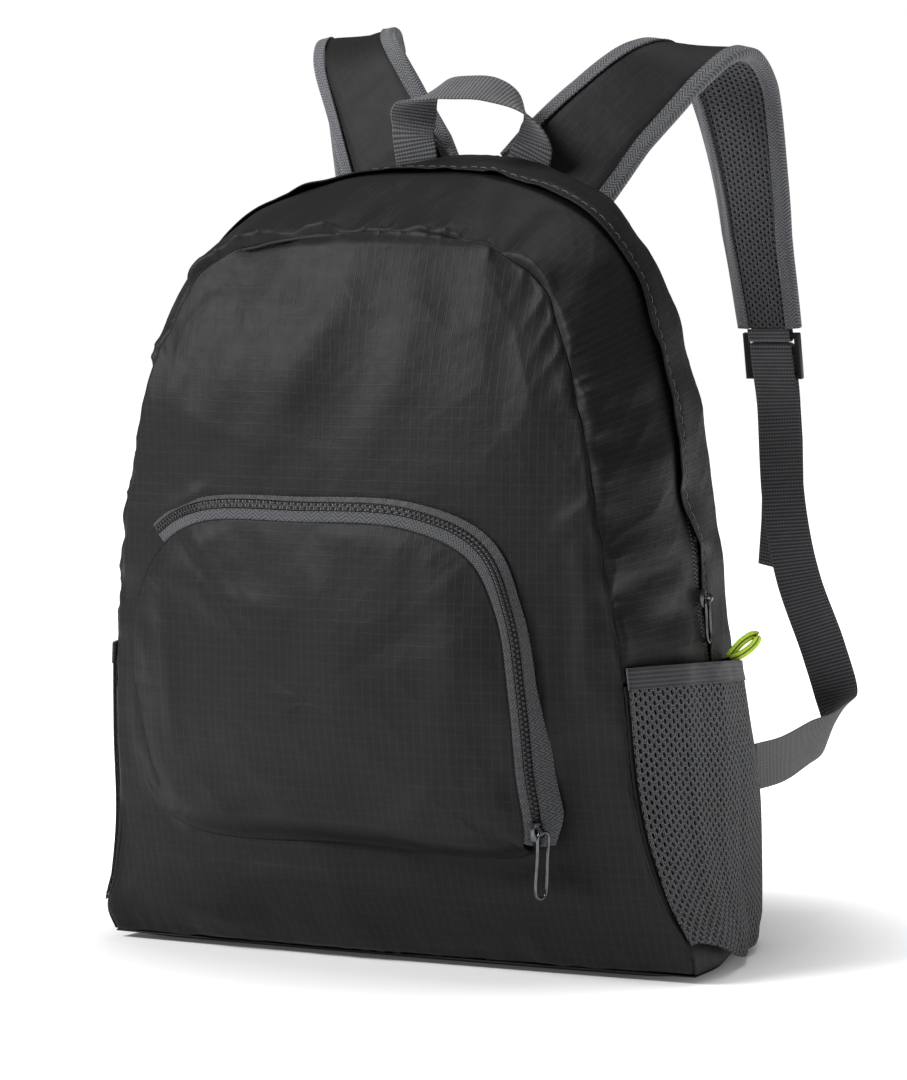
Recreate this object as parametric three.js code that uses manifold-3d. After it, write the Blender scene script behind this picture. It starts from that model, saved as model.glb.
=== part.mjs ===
// A packable backpack, standing filled on its base with both shoulder straps raised behind it.
// Millimetres. +Z is up, -Y is the front with the zipped pocket, +Y is the back that is worn,
// and +X is to the right of somebody who looks at the front. The origin is the middle of the base.
import * as THREE from "three";
import { mergeVertices } from "three/addons/utils/BufferGeometryUtils.js";
import Module from "manifold-3d";

const point = (x, y, z) => new THREE.Vector3(x, y, z);

// Bag body
const bag_width = 312;
const bag_depth = 146;
const front_height = 372;
const back_height = 412;
const cloth = 1.2;
const seam_gap = 0.5;
const front_lean = 21; // how far the soft bag's top has shifted to the left at the front
const back_lean = 15;
const lean_power = 1.5;
const front_crown = 17; // how far the filled front panel stands proud of its seam
const back_crown = 5;
const front_fullness = 0.75; // the lower, the more squarely the panel is filled
const gusset_fullness = 0.85;
const gusset_bulge = 17;
const top_arch = 3;
const arch_power = 6; // how late on its way up a panel takes on the top's arch
const base_rim = 0.2; // the turned up rim, as a share of the way out from the base's middle
const zip_line = 92; // from the front seam across the gusset to the main zip
const zip_forward = 16; // how much nearer to the front the zip runs at the shoulders
const zip_end_height = 150;
const flap_lift = 4;
const flap_overlap = 9;
const flap_slope = 38;
const flap_opening = 102; // the stretch above the zip's right end where the flap has opened over the slider
const flap_easing = 48;
const flap_rest = 0.25; // the share of its lift that the opened flap keeps

// Front pocket
const pocket_width = 232;
const pocket_height = 164;
const pocket_middle_x = -16;
const pocket_bottom = 63;
const pocket_depth = 20;
const pocket_swell = 5;
const pocket_left_share = 0.16; // of the pocket's depth, left at its left end
const pocket_top_share = 0.4; // of the pocket's depth, left at its top
const pocket_middle_up = 0.45;
const pocket_hem = 0.16; // where the pocket turns down to its sewn edge, as a share of the way out
const tape_width = 8;
const tape = 0.8;
const coil_width = 4.4;
const coil_height = 2;

// Side pockets
const side_pocket_height = 158;
const side_pocket_drop = 10;
const side_pocket_foot = 12;
const side_pocket_gape = 12;
const mesh = 1.4;
const band_height = 11;
const band = 2.2;

// Webbing, handle and shoulder straps
const strap_seat = 6.8; // from the back seam to the near face of the right strap's end
const left_strap_seat = 5.5;
const webbing_width = 25;
const webbing = 1.4;
const handle_half_span = 34;
const handle_rise = 36;
const handle_tip = 13; // how far forward the handle's top hangs
const strap_offset = 49;
const strap_spread = 46;
const strap_reach = 120;
const strap_rise = 62;
const left_strap_rise = 70; // the left strap has settled a little higher
const strap_half_width = 35;
const strap_cover = 3;
const strap_lining = 2.6;
const layer_gap = 0.5;
const binding = 1;
const binding_width = 9;
const webbing_reach = 150;
const webbing_spread = 20;
const anchor_height = 92;
const tail_length = 128;
const tail_stray = 16; // how far sideways the tail's tip has swung
const tail_sag = 4;

// Ladder lock
const lock_width = 34;
const lock_height = 26;
const lock_thickness = 3;
const lock_bar = 3;
const lock_slot = 5.6;
const lock_slot_width = 27;
const lock_drop = 16;
const turn_reach = 0.55; // how far a turn of webbing stands off a bar, as a share of its radius

// Zip sliders and pulls
const slider_length = 9;
const slider_width = 6.8;
const slider_plate = 1.6;
const slider_flange = 0.5;
const bridge_width = 2.6;
const bridge_hole = 1.5;
const bridge_wall = 0.9;
const bridge_sink = 0.15; // how deep the bridge's hole is sunk in the plate
const slider_taper = 0.8;
const pull_width = 6.4;
const pull_corner = 0.45; // as a share of half the pull's width
const wire = 1.7;
const pocket_pull_length = 34;
const main_pull_length = 24;
const main_slider_place = 0.95; // as a share of the way along the main zip's coil

// Loop tag
const band_seat = 1.2;
const tag_length = 24;
const tag_width = 5;
const tag_thickness = 0.9;
const tag_gape = 7;
const tag_place = 0.88; // as a share of the way from front to back along the pocket's band

// The two seams of the gusset, from the base to where the top runs level.
// up is a share of the seam's height, out of half the bag's width and fore of half its depth.
const front_rows = [
  { up: 0.01, out: 1.08, fore: 0.93 },
  { up: 0.045, out: 1.085, fore: 1.02 },
  { up: 0.1, out: 1.03, fore: 1.07 },
  { up: 0.2, out: 0.975, fore: 1.085 },
  { up: 0.43, out: 0.938, fore: 1.09 },
  { up: 0.59, out: 0.885, fore: 1.06 },
  { up: 0.71, out: 0.84, fore: 0.98 },
  { up: 0.78, out: 0.79, fore: 0.9 },
  { up: 0.855, out: 0.73, fore: 0.78 },
  { up: 0.92, out: 0.65, fore: 0.68 },
  { up: 0.957, out: 0.575, fore: 0.63 },
  { up: 0.984, out: 0.46, fore: 0.59 },
  { up: 1.0, out: 0.3, fore: 0.57 },
];
const back_rows = [
  { up: 0.009, out: 0.96, fore: -1.0 },
  { up: 0.11, out: 0.96, fore: -1.02 },
  { up: 0.21, out: 0.95, fore: -1.03 },
  { up: 0.38, out: 0.88, fore: -1.02 },
  { up: 0.5, out: 0.85, fore: -1.01 },
  { up: 0.69, out: 0.8, fore: -0.99 },
  { up: 0.8, out: 0.725, fore: -0.96 },
  { up: 0.87, out: 0.65, fore: -0.94 },
  { up: 0.925, out: 0.56, fore: -0.92 },
  { up: 0.965, out: 0.43, fore: -0.9 },
  { up: 0.988, out: 0.3, fore: -0.89 },
  { up: 1.0, out: 0.18, fore: -0.89 },
];
const top_share = 0.1; // the level stretch, as a share of half the way round

// How much of gusset_bulge the gusset has, by the share of the way from the top to the base.
const bulge_rows = [
  { at: 0, amount: 0.42 },
  { at: 0.12, amount: 0.65 },
  { at: 0.28, amount: 1.0 },
  { at: 0.5, amount: 0.55 },
  { at: 0.75, amount: 0.38 },
  { at: 1, amount: 0.2 },
];
// How much of zip_forward the zip has, by the share of the arch from its top to its end.
const forward_rows = [
  { at: 0, amount: 0.1 },
  { at: 0.25, amount: 0.8 },
  { at: 0.45, amount: 1 },
  { at: 0.65, amount: 0.6 },
  { at: 0.85, amount: 0.1 },
  { at: 1, amount: 0 },
];
// The front panel's crown, by the share of its height.
const crown_rows = [
  { at: 0, amount: 0.25 },
  { at: 0.12, amount: 0.75 },
  { at: 0.35, amount: 1 },
  { at: 0.7, amount: 0.8 },
  { at: 0.93, amount: 0.35 },
  { at: 1, amount: 0.05 },
];

// The pocket's outline, clockwise from where its zip starts at the upper left.
// across is a share of half the pocket's width from its middle, up of its height.
const pocket_rows = [
  { across: -0.8, up: 0.915 },
  { across: -0.6, up: 0.985 },
  { across: -0.07, up: 1.0 },
  { across: 0.48, up: 0.99 },
  { across: 0.78, up: 0.905 },
  { across: 0.91, up: 0.74 },
  { across: 0.965, up: 0.5 },
  { across: 0.99, up: 0.26 },
  { across: 1.0, up: 0.05 },
  { across: 0.94, up: 0.0 },
  { across: 0.1, up: 0.0 },
  { across: -0.76, up: 0.015 },
  { across: -0.965, up: 0.12 },
  { across: -1.0, up: 0.42 },
  { across: -0.965, up: 0.74 },
];
const zip_rows = 9; // the first rows of the outline that carry the pocket's zip

// How much the zip holds the pocket's edge away from the bag, by the row of the outline.
const held_rows = [
  { at: 0, amount: 0.3 },
  { at: 1, amount: 1 },
  { at: zip_rows - 1, amount: 1 },
  { at: zip_rows, amount: 0 },
  { at: pocket_rows.length - 1, amount: 0 },
  { at: pocket_rows.length, amount: 0.3 },
];
// Across the pocket's zip, by the share of its way: reach is from the pocket's edge to the coil and
// stitch from the coil to the outer seam, as shares of tape_width, and stand is the coil's height
// as a share of the edge's.
const tape_rows = [
  { at: 0, reach: 1, stitch: 0.8, stand: 0.62 },
  { at: 0.45, reach: 1, stitch: 0.8, stand: 0.62 },
  { at: 0.65, reach: 0.7, stitch: 0.75, stand: 0.78 },
  { at: 1, reach: 0.7, stitch: 0.5, stand: 0.78 },
];
// The side pocket's slack, as a share of side_pocket_gape, by the share of its height.
const gape_rows = [
  { at: 0, amount: 0.12 },
  { at: 0.7, amount: 1 },
  { at: 1, amount: 1 },
];

// The handle from its right foot to the middle: out, fore and up are shares of handle_half_span,
// handle_tip and handle_rise, and wx, wy, wz point across the webbing.
const handle_rows = [
  { out: 1, fore: 0, up: 0, wx: 1, wy: 0, wz: 0 },
  { out: 1.05, fore: 0.08, up: 0.4, wx: 1, wy: 0, wz: 0 },
  { out: 0.9, fore: 0.54, up: 0.75, wx: 0.8, wy: -0.55, wz: -0.2 },
  { out: 0.45, fore: 0.92, up: 0.97, wx: 0.15, wy: -0.85, wz: -0.45 },
  { out: 0, fore: 1, up: 1, wx: 0, wy: -0.85, wz: -0.5 },
];

// Right shoulder strap from its seam. out, back and up are shares of the strap's spread, reach and rise,
// half of half its width, and wx, wy, wz point across it to its outer edge.
const strap_rows = [
  { out: 0, back: 0, up: 0, half: 1, wx: 0.955, wy: 0, wz: -0.295 },
  { out: 0.48, back: 0.1, up: 0.46, half: 0.87, wx: 0.95, wy: 0.04, wz: -0.3 },
  { out: 0.97, back: 0.25, up: 0.86, half: 0.76, wx: 0.95, wy: 0.16, wz: -0.2 },
  { out: 1.2, back: 0.42, up: 1.0, half: 0.73, wx: 0.98, wy: 0.18, wz: -0.08 },
  { out: 1.26, back: 0.58, up: 0.96, half: 0.75, wx: 0.98, wy: 0.1, wz: 0 },
  { out: 1.28, back: 0.74, up: 0.71, half: 0.77, wx: 0.98, wy: 0, wz: 0 },
  { out: 1.33, back: 0.91, up: -0.12, half: 0.68, wx: 0.97, wy: -0.16, wz: 0 },
  { out: 1.34, back: 1.0, up: -0.8, half: 0.6, wx: 0.98, wy: -0.12, wz: 0 },
  { out: 1.35, back: 1.06, up: -1.4, half: 0.54, wx: 0.99, wy: 0, wz: 0 },
];
// The webbing from the lock down to the bag: down is a share of the drop from the lock to the anchor,
// back and out are measured from the anchor as shares of webbing_reach and webbing_spread.
const lower_rows = [
  { down: 0.3, back: 0.84, out: -1.6, wx: 0.99, wy: 0.1, wz: 0 },
  { down: 0.52, back: 0.9, out: -1.45, wx: 0.97, wy: 0.25, wz: 0 },
  { down: 0.74, back: 0.98, out: -1.0, wx: 0.9, wy: 0.4, wz: 0.2 },
  { down: 0.89, back: 0.97, out: -0.6, wx: 0.7, wy: 0.25, wz: 0.7 },
  { down: 0.96, back: 0.82, out: -0.35, wx: 0.35, wy: 0, wz: 0.93 },
  { down: 0.98, back: 0.56, out: -0.2, wx: 0.1, wy: 0, wz: 1 },
  { down: 1.0, back: 0.26, out: -0.04, wx: 0, wy: 0, wz: 1 },
];
const tail_shares = [0.06, 0.2, 0.4, 0.6, 0.8, 1];

// Half of the loop tag: out is a share of tag_length and apart of tag_gape.
const tag_rows = [
  { out: 0, apart: 0.12 },
  { out: 0.3, apart: 0.4 },
  { out: 0.65, apart: 0.5 },
  { out: 0.92, apart: 0.3 },
];
const tag_out = point(0.5, 0.45, 0.74).normalize();
const tag_across = point(-0.45, 0.89, 0).addScaledVector(tag_out, -0.18).normalize();

const sides = [
  ["left", -1],
  ["right", 1],
];
const half_width = bag_width / 2;
const half_depth = bag_depth / 2;
const inset = cloth / 2 + seam_gap;

function smooth(t) {
  const s = Math.min(1, Math.max(0, t));
  return s * s * (3 - 2 * s);
}

// What a column of a table gives at a place, easing from row to row.
function amountAt(rows, place, column = "amount") {
  const next = rows.findIndex((row) => row.at >= place);
  if (next <= 0) return rows[next < 0 ? rows.length - 1 : 0][column];
  const low = rows[next - 1];
  const high = rows[next];
  const share = smooth((place - low.at) / (high.at - low.at));
  return THREE.MathUtils.lerp(low[column], high[column], share);
}

function leaned(p) {
  const lean = THREE.MathUtils.lerp(front_lean, back_lean, smooth((p.y + half_depth) / bag_depth));
  const share = THREE.MathUtils.clamp(p.z / front_height, 0, 1);
  return point(p.x - lean * share ** lean_power, p.y, p.z);
}

// Solids: a geometry that faces outwards, whichever way its faces were listed.
function solid(positions, faces) {
  let volume = 0;
  for (const [a, b, c] of faces) {
    volume += positions[a].dot(positions[b].clone().cross(positions[c]));
  }
  const geometry = new THREE.BufferGeometry();
  const values = positions.flatMap((p) => p.toArray());
  geometry.setAttribute("position", new THREE.Float32BufferAttribute(values, 3));
  geometry.setIndex(faces.flatMap(([a, b, c]) => (volume > 0 ? [a, b, c] : [a, c, b])));
  geometry.computeVertexNormals();
  return geometry;
}

// A wall of cloth: sheet(u, v), with u and v from 0 to 1, is its middle surface.
function wall(sheet, columns, rows, thickness) {
  const positions = [];
  const step = 1e-3;
  for (const side of [0.5, -0.5]) {
    for (let j = 0; j <= rows; j++) {
      for (let i = 0; i <= columns; i++) {
        const u = i / columns;
        const v = j / rows;
        const across = sheet(Math.min(1, u + step), v).sub(sheet(Math.max(0, u - step), v));
        const along = sheet(u, Math.min(1, v + step)).sub(sheet(u, Math.max(0, v - step)));
        const normal = across.cross(along).normalize();
        positions.push(leaned(sheet(u, v).addScaledVector(normal, side * thickness)));
      }
    }
  }
  const layer = (columns + 1) * (rows + 1);
  const at = (i, j, side) => side * layer + j * (columns + 1) + i;
  const faces = [];
  const quad = (a, b, c, d) => faces.push([a, b, c], [a, c, d]);
  for (let j = 0; j < rows; j++) {
    for (let i = 0; i < columns; i++) {
      quad(at(i, j, 0), at(i + 1, j, 0), at(i + 1, j + 1, 0), at(i, j + 1, 0));
      quad(at(i, j, 1), at(i, j + 1, 1), at(i + 1, j + 1, 1), at(i + 1, j, 1));
    }
    quad(at(0, j, 0), at(0, j + 1, 0), at(0, j + 1, 1), at(0, j, 1));
    quad(at(columns, j, 0), at(columns, j, 1), at(columns, j + 1, 1), at(columns, j + 1, 0));
  }
  for (let i = 0; i < columns; i++) {
    quad(at(i, 0, 0), at(i, 0, 1), at(i + 1, 0, 1), at(i + 1, 0, 0));
    quad(at(i, rows, 0), at(i + 1, rows, 0), at(i + 1, rows, 1), at(i, rows, 1));
  }
  return solid(positions, faces);
}

// A wall of cloth with a round outline: sheet(turn, r), with turn round it and r from 0 in the middle
// to 1 at the edge.
function roundWall(sheet, segments, rings, thickness) {
  const positions = [];
  const step = 1e-3;
  for (const side of [0.5, -0.5]) {
    positions.push(leaned(sheet(0, 0).add(point(0, side * thickness, 0))));
    for (let j = 1; j <= rings; j++) {
      for (let i = 0; i < segments; i++) {
        const turn = i / segments;
        const r = j / rings;
        const round = sheet(turn + step, r).sub(sheet(turn - step, r));
        const outward = sheet(turn, r).sub(sheet(turn, r - step));
        const normal = outward.cross(round).normalize();
        positions.push(leaned(sheet(turn, r).addScaledVector(normal, side * thickness)));
      }
    }
  }
  const layer = 1 + rings * segments;
  const at = (i, j, side) => side * layer + (j === 0 ? 0 : 1 + (j - 1) * segments + (i % segments));
  const faces = [];
  for (let i = 0; i < segments; i++) {
    faces.push([at(0, 0, 0), at(i, 1, 0), at(i + 1, 1, 0)], [at(0, 0, 1), at(i + 1, 1, 1), at(i, 1, 1)]);
    for (let j = 1; j < rings; j++) {
      const [a, b, c, d] = [at(i, j, 0), at(i, j + 1, 0), at(i + 1, j + 1, 0), at(i + 1, j, 0)];
      faces.push([a, b, c], [a, c, d]);
      const [e, f, g, h] = [at(i, j, 1), at(i + 1, j, 1), at(i + 1, j + 1, 1), at(i, j + 1, 1)];
      faces.push([e, f, g], [e, g, h]);
    }
    const [p, q, r, s] = [at(i, rings, 0), at(i, rings, 1), at(i + 1, rings, 1), at(i + 1, rings, 0)];
    faces.push([p, q, r], [p, r, s]);
  }
  return solid(positions, faces);
}

// A section swept through stations. A station has a place p, a direction w across the band and a normal n.
// sectionAt(station) lists the section's corners as [across, out] pairs.
function sweep(stations, sectionAt, closed = false) {
  const sections = stations.map(sectionAt);
  const positions = sections.flatMap((section, k) =>
    section.map(([across, out]) => {
      const { p, w, n } = stations[k];
      return p.clone().addScaledVector(w, across).addScaledVector(n, out);
    }),
  );
  const corners = sections[0].length;
  const faces = [];
  const last = closed ? stations.length : stations.length - 1;
  for (let k = 0; k < last; k++) {
    const over = ((k + 1) % stations.length) * corners;
    for (let c = 0; c < corners; c++) {
      const next = (c + 1) % corners;
      const [a, b, d, e] = [k * corners + c, k * corners + next, over + c, over + next];
      const rising = sections[k][next][0] >= sections[k][c][0];
      faces.push(...(rising ? [[a, b, e], [a, e, d]] : [[a, b, d], [b, e, d]]));
    }
  }
  if (!closed) {
    const cap = (station, first, reversed) => {
      const contour = sectionAt(station).map(([across, out]) => new THREE.Vector2(across, out));
      const area = THREE.ShapeUtils.area(contour);
      for (const corners of THREE.ShapeUtils.triangulateShape(contour, [])) {
        const same = THREE.ShapeUtils.area(corners.map((c) => contour[c])) > 0 === area > 0;
        faces.push((same !== reversed ? corners : corners.toReversed()).map((c) => first + c));
      }
    };
    cap(stations[0], 0, true);
    cap(stations.at(-1), (stations.length - 1) * corners, false);
  }
  return solid(positions, faces);
}

// Stations through rows of { p, w, half }, evenly spaced along a smooth curve.
function stationsThrough(rows, count) {
  const curve = new THREE.CatmullRomCurve3(rows.map((row) => row.p), false, "centripetal");
  const hints = new THREE.CatmullRomCurve3(rows.map((row) => row.w), false, "centripetal");
  const halves = new THREE.SplineCurve(rows.map((row, i) => new THREE.Vector2(i, row.half ?? 0)));
  const stations = [];
  for (let k = 0; k <= count; k++) {
    const t = curve.getUtoTmapping(k / count);
    const along = curve.getTangent(t);
    stations.push(stationAt(curve.getPoint(t), along, hints.getPoint(t), halves.getPoint(t).y));
  }
  return stations;
}

function stationAt(p, along, hint, half = 0) {
  const w = hint.clone().addScaledVector(along, -hint.dot(along)).normalize();
  return { p: p.clone(), w, n: w.clone().cross(along).normalize(), half };
}

// Stations of a piece that is laid out on the right, put in place on their own side of the leaning bag.
function placed(stations, side = 1) {
  return stations.map(({ p, w, n, half }) => ({
    p: leaned(point(side * p.x, p.y, p.z)),
    w: point(side * w.x, w.y, w.z),
    n: point(side * n.x, n.y, n.z),
    half,
  }));
}

const flatSection = (half, thickness) => () => [
  [-half, -thickness / 2],
  [half, -thickness / 2],
  [half, thickness / 2],
  [-half, thickness / 2],
];

function roundSection(radius, sides) {
  return () =>
    Array.from({ length: sides }, (_, i) => {
      const turn = (2 * Math.PI * i) / sides;
      return [radius * Math.cos(turn), radius * Math.sin(turn)];
    });
}

// Seams
function seamOf(rows, height) {
  const places = rows.map((row) => point(row.out * half_width, -row.fore * half_depth, row.up * height));
  const curve = new THREE.CatmullRomCurve3(places, false, "centripetal");
  curve.arcLengthDivisions = 400;
  return { curve, top: places.at(-1) };
}
const front_seam = seamOf(front_rows, front_height);
const back_seam = seamOf(back_rows, back_height);

// A seam's point: around runs from -1 at the left of the base over the top at 0 to 1 at the right.
function seamPoint(seam, around) {
  const away = Math.min(1, Math.abs(around));
  const level = away / top_share;
  const p =
    level < 1
      ? point(seam.top.x * level, seam.top.y, seam.top.z + top_arch * (1 - level * level))
      : seam.curve.getPointAt(1 - (away - top_share) / (1 - top_share));
  return point(around < 0 ? -p.x : p.x, p.y, p.z);
}

// How far round a seam its right side comes to a height.
function aroundAtHeight(seam, height) {
  let [low, high] = [top_share, 1];
  for (let k = 0; k < 40; k++) {
    const middle = (low + high) / 2;
    if (seamPoint(seam, middle).z > height) low = middle;
    else high = middle;
  }
  return high;
}

function alongSeam(seam, around) {
  const step = 0.01;
  const a = THREE.MathUtils.clamp(around, step - 1, 1 - step);
  return seamPoint(seam, a + step).sub(seamPoint(seam, a - step));
}

// A rib runs across the gusset from a place on the front seam to one on the back seam.
function ribBetween(front_around, back_around) {
  const along = alongSeam(front_seam, front_around).add(alongSeam(back_seam, back_around));
  return {
    front: seamPoint(front_seam, front_around),
    back: seamPoint(back_seam, back_around),
    outward: point(-along.z, 0, along.x).normalize(),
    bulge: gusset_bulge * amountAt(bulge_rows, Math.abs(front_around)),
  };
}

// A rib's middle surface, across from the front seam 0 to the back seam 1, moved out by lift.
function onRib(rib, across, lift = 0) {
  const out = rib.bulge * Math.sin(Math.PI * THREE.MathUtils.clamp(across, 0, 1)) ** gusset_fullness;
  return rib.front.clone().lerp(rib.back, across).addScaledVector(rib.outward, out + lift);
}

// The arch of the gusset, from -1 at the zip's left end over the top to 1 at its right end.
const front_reach = aroundAtHeight(front_seam, zip_end_height);
const back_reach = aroundAtHeight(back_seam, zip_end_height);
const archRib = (share) => ribBetween(share * front_reach, share * back_reach);

// The side of the bag below the arch, at a height on the front seam and one on the back seam.
function sideRib(side, front_z, back_z = front_z) {
  return ribBetween(
    side * aroundAtHeight(front_seam, front_z),
    side * aroundAtHeight(back_seam, back_z),
  );
}

// The front panel's middle surface: across from -1 to 1, up from 0 at the base to 1 at the top seam.
function frontPoint(across, up) {
  const edge = seamPoint(front_seam, 1 - up * (1 - top_share));
  const inner = 1 - across * across;
  const crown = front_crown * amountAt(crown_rows, up) * inner ** front_fullness;
  return point(across * edge.x, edge.y - crown, edge.z + top_arch * inner * up ** arch_power);
}

// Where the front panel's middle surface lies at a place of its own plane.
function frontDepth(x, z) {
  const around = aroundAtHeight(front_seam, z);
  const edge = seamPoint(front_seam, around);
  return frontPoint(THREE.MathUtils.clamp(x / edge.x, -1, 1), (1 - around) / (1 - top_share)).y;
}

function backPoint(across, up) {
  const edge = seamPoint(back_seam, 1 - up * (1 - top_share));
  const inner = 1 - across * across;
  const crown = back_crown * inner * Math.sin(Math.PI * up);
  return point(across * edge.x, edge.y + crown, edge.z + top_arch * inner * up ** arch_power);
}

// Colours and finishes
const black_ripstop = { color: 0x1b1b1c, roughness: 0.62, metalness: 0 };
const grey_webbing = { color: 0x45464a, roughness: 0.85, metalness: 0 };
const grey_mesh = { color: 0x4b4c50, roughness: 0.9, metalness: 0 };
const grey_tape = { color: 0x4a4a4d, roughness: 0.85, metalness: 0 };
const black_nylon = { color: 0x131314, roughness: 0.45, metalness: 0 };
const gun_metal = { color: 0x7d7e80, roughness: 0.3, metalness: 1 };
const lime_ribbon = { color: 0xc4ea2a, roughness: 0.7, metalness: 0 };

const backpack = new THREE.Group();
const manifold = await Module();
manifold.setup();

function add(name, geometry, finish) {
  const piece = new THREE.Mesh(geometry, new THREE.MeshStandardMaterial(finish));
  piece.name = name;
  backpack.add(piece);
  return piece;
}

// Panels
const side_steps = 15;
const across_inset = inset / half_width;
const depth_inset = inset / bag_depth;
const up_inset = inset / front_height;

function addPanels() {
  const span = 2 * (1 - across_inset);
  const rise = 1 - 2 * up_inset;
  add(
    "front_panel",
    wall((u, v) => frontPoint((u - 0.5) * span, up_inset + v * rise), 14, side_steps, cloth),
    black_ripstop,
  );
  add(
    "back_panel",
    wall((u, v) => backPoint((0.5 - u) * span, up_inset + v * rise), 10, side_steps, cloth),
    black_ripstop,
  );
  add("base_panel", wall(basePoint, 12, 8, cloth), black_ripstop);
}

// The base: a flat floor whose rim turns up to the panels, a little under their lower edges.
function basePoint(u, v) {
  const across = 2 * u - 1;
  const side = onRib(ribBetween(1, 1), v);
  const front = frontPoint(across, 0);
  const back = backPoint(across, 0);
  const rim = Math.max(Math.abs(across), Math.abs(2 * v - 1));
  const rise = seamPoint(front_seam, 1).z - cloth / 2;
  const turned = smooth((rim - 1 + base_rim) / base_rim);
  return point(across * side.x, THREE.MathUtils.lerp(front.y, back.y, v), cloth / 2 + rise * turned);
}

// Gussets: the two halves of the arch on either side of the main zip, and a side panel under each of
// its ends.
const arch_steps = 34;
const half_arch = front_height - zip_end_height + half_width;
const arch_end = 1 - inset / half_arch;
const archShare = (u) => (2 * u - 1) * arch_end;

// Where the main zip crosses a rib of the arch, moved back by away millimetres.
function zipAcross(share, away = 0) {
  return (zip_line - zip_forward * amountAt(forward_rows, Math.abs(share)) + away) / bag_depth;
}

// How far the flap over the zip has opened near the slider: 0 where it is shut, 1 where it is open.
function flapOpening(share) {
  return smooth((flap_opening - (1 - share) * half_arch) / flap_easing);
}

function flapPoint(u, v) {
  const share = archShare(u);
  const open = flapOpening(share);
  const clear = (coil_width + slider_width) / 2 + 3 * seam_gap;
  const overlap = THREE.MathUtils.lerp(flap_overlap, -clear, open);
  const start = zipAcross(share, -overlap);
  const across = THREE.MathUtils.lerp(start, 1 - depth_inset, v);
  const rest = smooth(4 * open - 3); // the flap lies down once its edge is behind the coil
  const height = flap_lift * THREE.MathUtils.lerp(1, flap_rest, rest);
  const lift = height * (1 - smooth(((across - start) * bag_depth) / flap_slope));
  return onRib(archRib(share), across, lift);
}

function addGussets() {
  const front = (u, v) => {
    const share = archShare(u);
    return onRib(archRib(share), THREE.MathUtils.lerp(depth_inset, zipAcross(share, -inset), v));
  };
  add("front_gusset", wall(front, arch_steps, 4, cloth), black_ripstop);
  add("rear_gusset", wall(flapPoint, arch_steps, 5, cloth), black_ripstop);
  const low = Math.max(seamPoint(front_seam, 1).z, seamPoint(back_seam, 1).z) + inset;
  const high = zip_end_height - inset;
  for (const [name, side] of sides) {
    const sheet = (u, v) =>
      onRib(sideRib(side, THREE.MathUtils.lerp(low, high, v)), depth_inset + u * (1 - 2 * depth_inset));
    add(`${name}_side_panel`, wall(sheet, 10, 6, cloth), black_ripstop);
  }
}

// Main zip: a tape under the slit, and the coil on it.
const zip_lift = -(cloth / 2 + seam_gap + tape / 2);
const coil_away = coil_width / 2 + seam_gap;
const coil_lift = zip_lift + tape / 2 + layer_gap + coil_height / 2;

function addMainZip() {
  const tape_half = tape_width + coil_width / 2;
  const sheet = (u, v) => {
    const share = archShare(u);
    return onRib(archRib(share), zipAcross(share, coil_away + (2 * v - 1) * tape_half), zip_lift);
  };
  add("main_zip_tape", wall(sheet, arch_steps, 2, tape), black_nylon);
  const stations = Array.from({ length: arch_steps + 1 }, (_, k) => mainCoilStation(k / arch_steps));
  add("main_zip_coil", sweep(placed(stations), flatSection(coil_width / 2, coil_height)), black_nylon);
}

function mainCoilStation(u) {
  const step = 1e-3;
  const at = (place, away = coil_away) => {
    const share = archShare(place);
    return onRib(archRib(share), zipAcross(share, away), coil_lift);
  };
  const along = at(Math.min(1, u + step)).sub(at(Math.max(0, u - step)));
  return stationAt(at(u), along.normalize(), at(u, coil_away + 1).sub(at(u)));
}

// Front pocket
const pocket_outline = new THREE.CatmullRomCurve3(
  pocket_rows.map((row) =>
    point(pocket_middle_x + (row.across * pocket_width) / 2, 0, pocket_bottom + row.up * pocket_height),
  ),
  true,
  "centripetal",
);

const wrapped = (turn) => ((turn % 1) + 1) % 1;
const pocketEdge = (turn) => pocket_outline.getPoint(wrapped(turn));

// How far the pocket stands off the front panel at a place of its plane: full at the lower right.
function pocketStand(x, z) {
  const across = smooth((x - pocket_middle_x) / pocket_width + 0.5);
  const up = THREE.MathUtils.clamp((z - pocket_bottom) / pocket_height, 0, 1);
  const sideways = THREE.MathUtils.lerp(pocket_left_share, 1, across);
  return pocket_depth * sideways * THREE.MathUtils.lerp(1, pocket_top_share, up);
}

const pocket_seat = cloth + seam_gap; // from the front panel's middle surface to that of what is sewn on it

function pocketPoint(turn, r) {
  const edge = pocketEdge(turn);
  const middle = point(pocket_middle_x, 0, pocket_bottom + pocket_middle_up * pocket_height);
  const p = middle.lerp(edge, r);
  const zipped = amountAt(held_rows, wrapped(turn) * pocket_rows.length);
  const sewn = 1 - smooth((r - 1 + pocket_hem) / pocket_hem);
  const held = THREE.MathUtils.lerp(sewn, 1, zipped);
  const swell = pocket_swell * (1 - r * r);
  return point(p.x, frontDepth(p.x, p.z) - pocket_seat - pocketStand(p.x, p.z) * held - swell, p.z);
}

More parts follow.
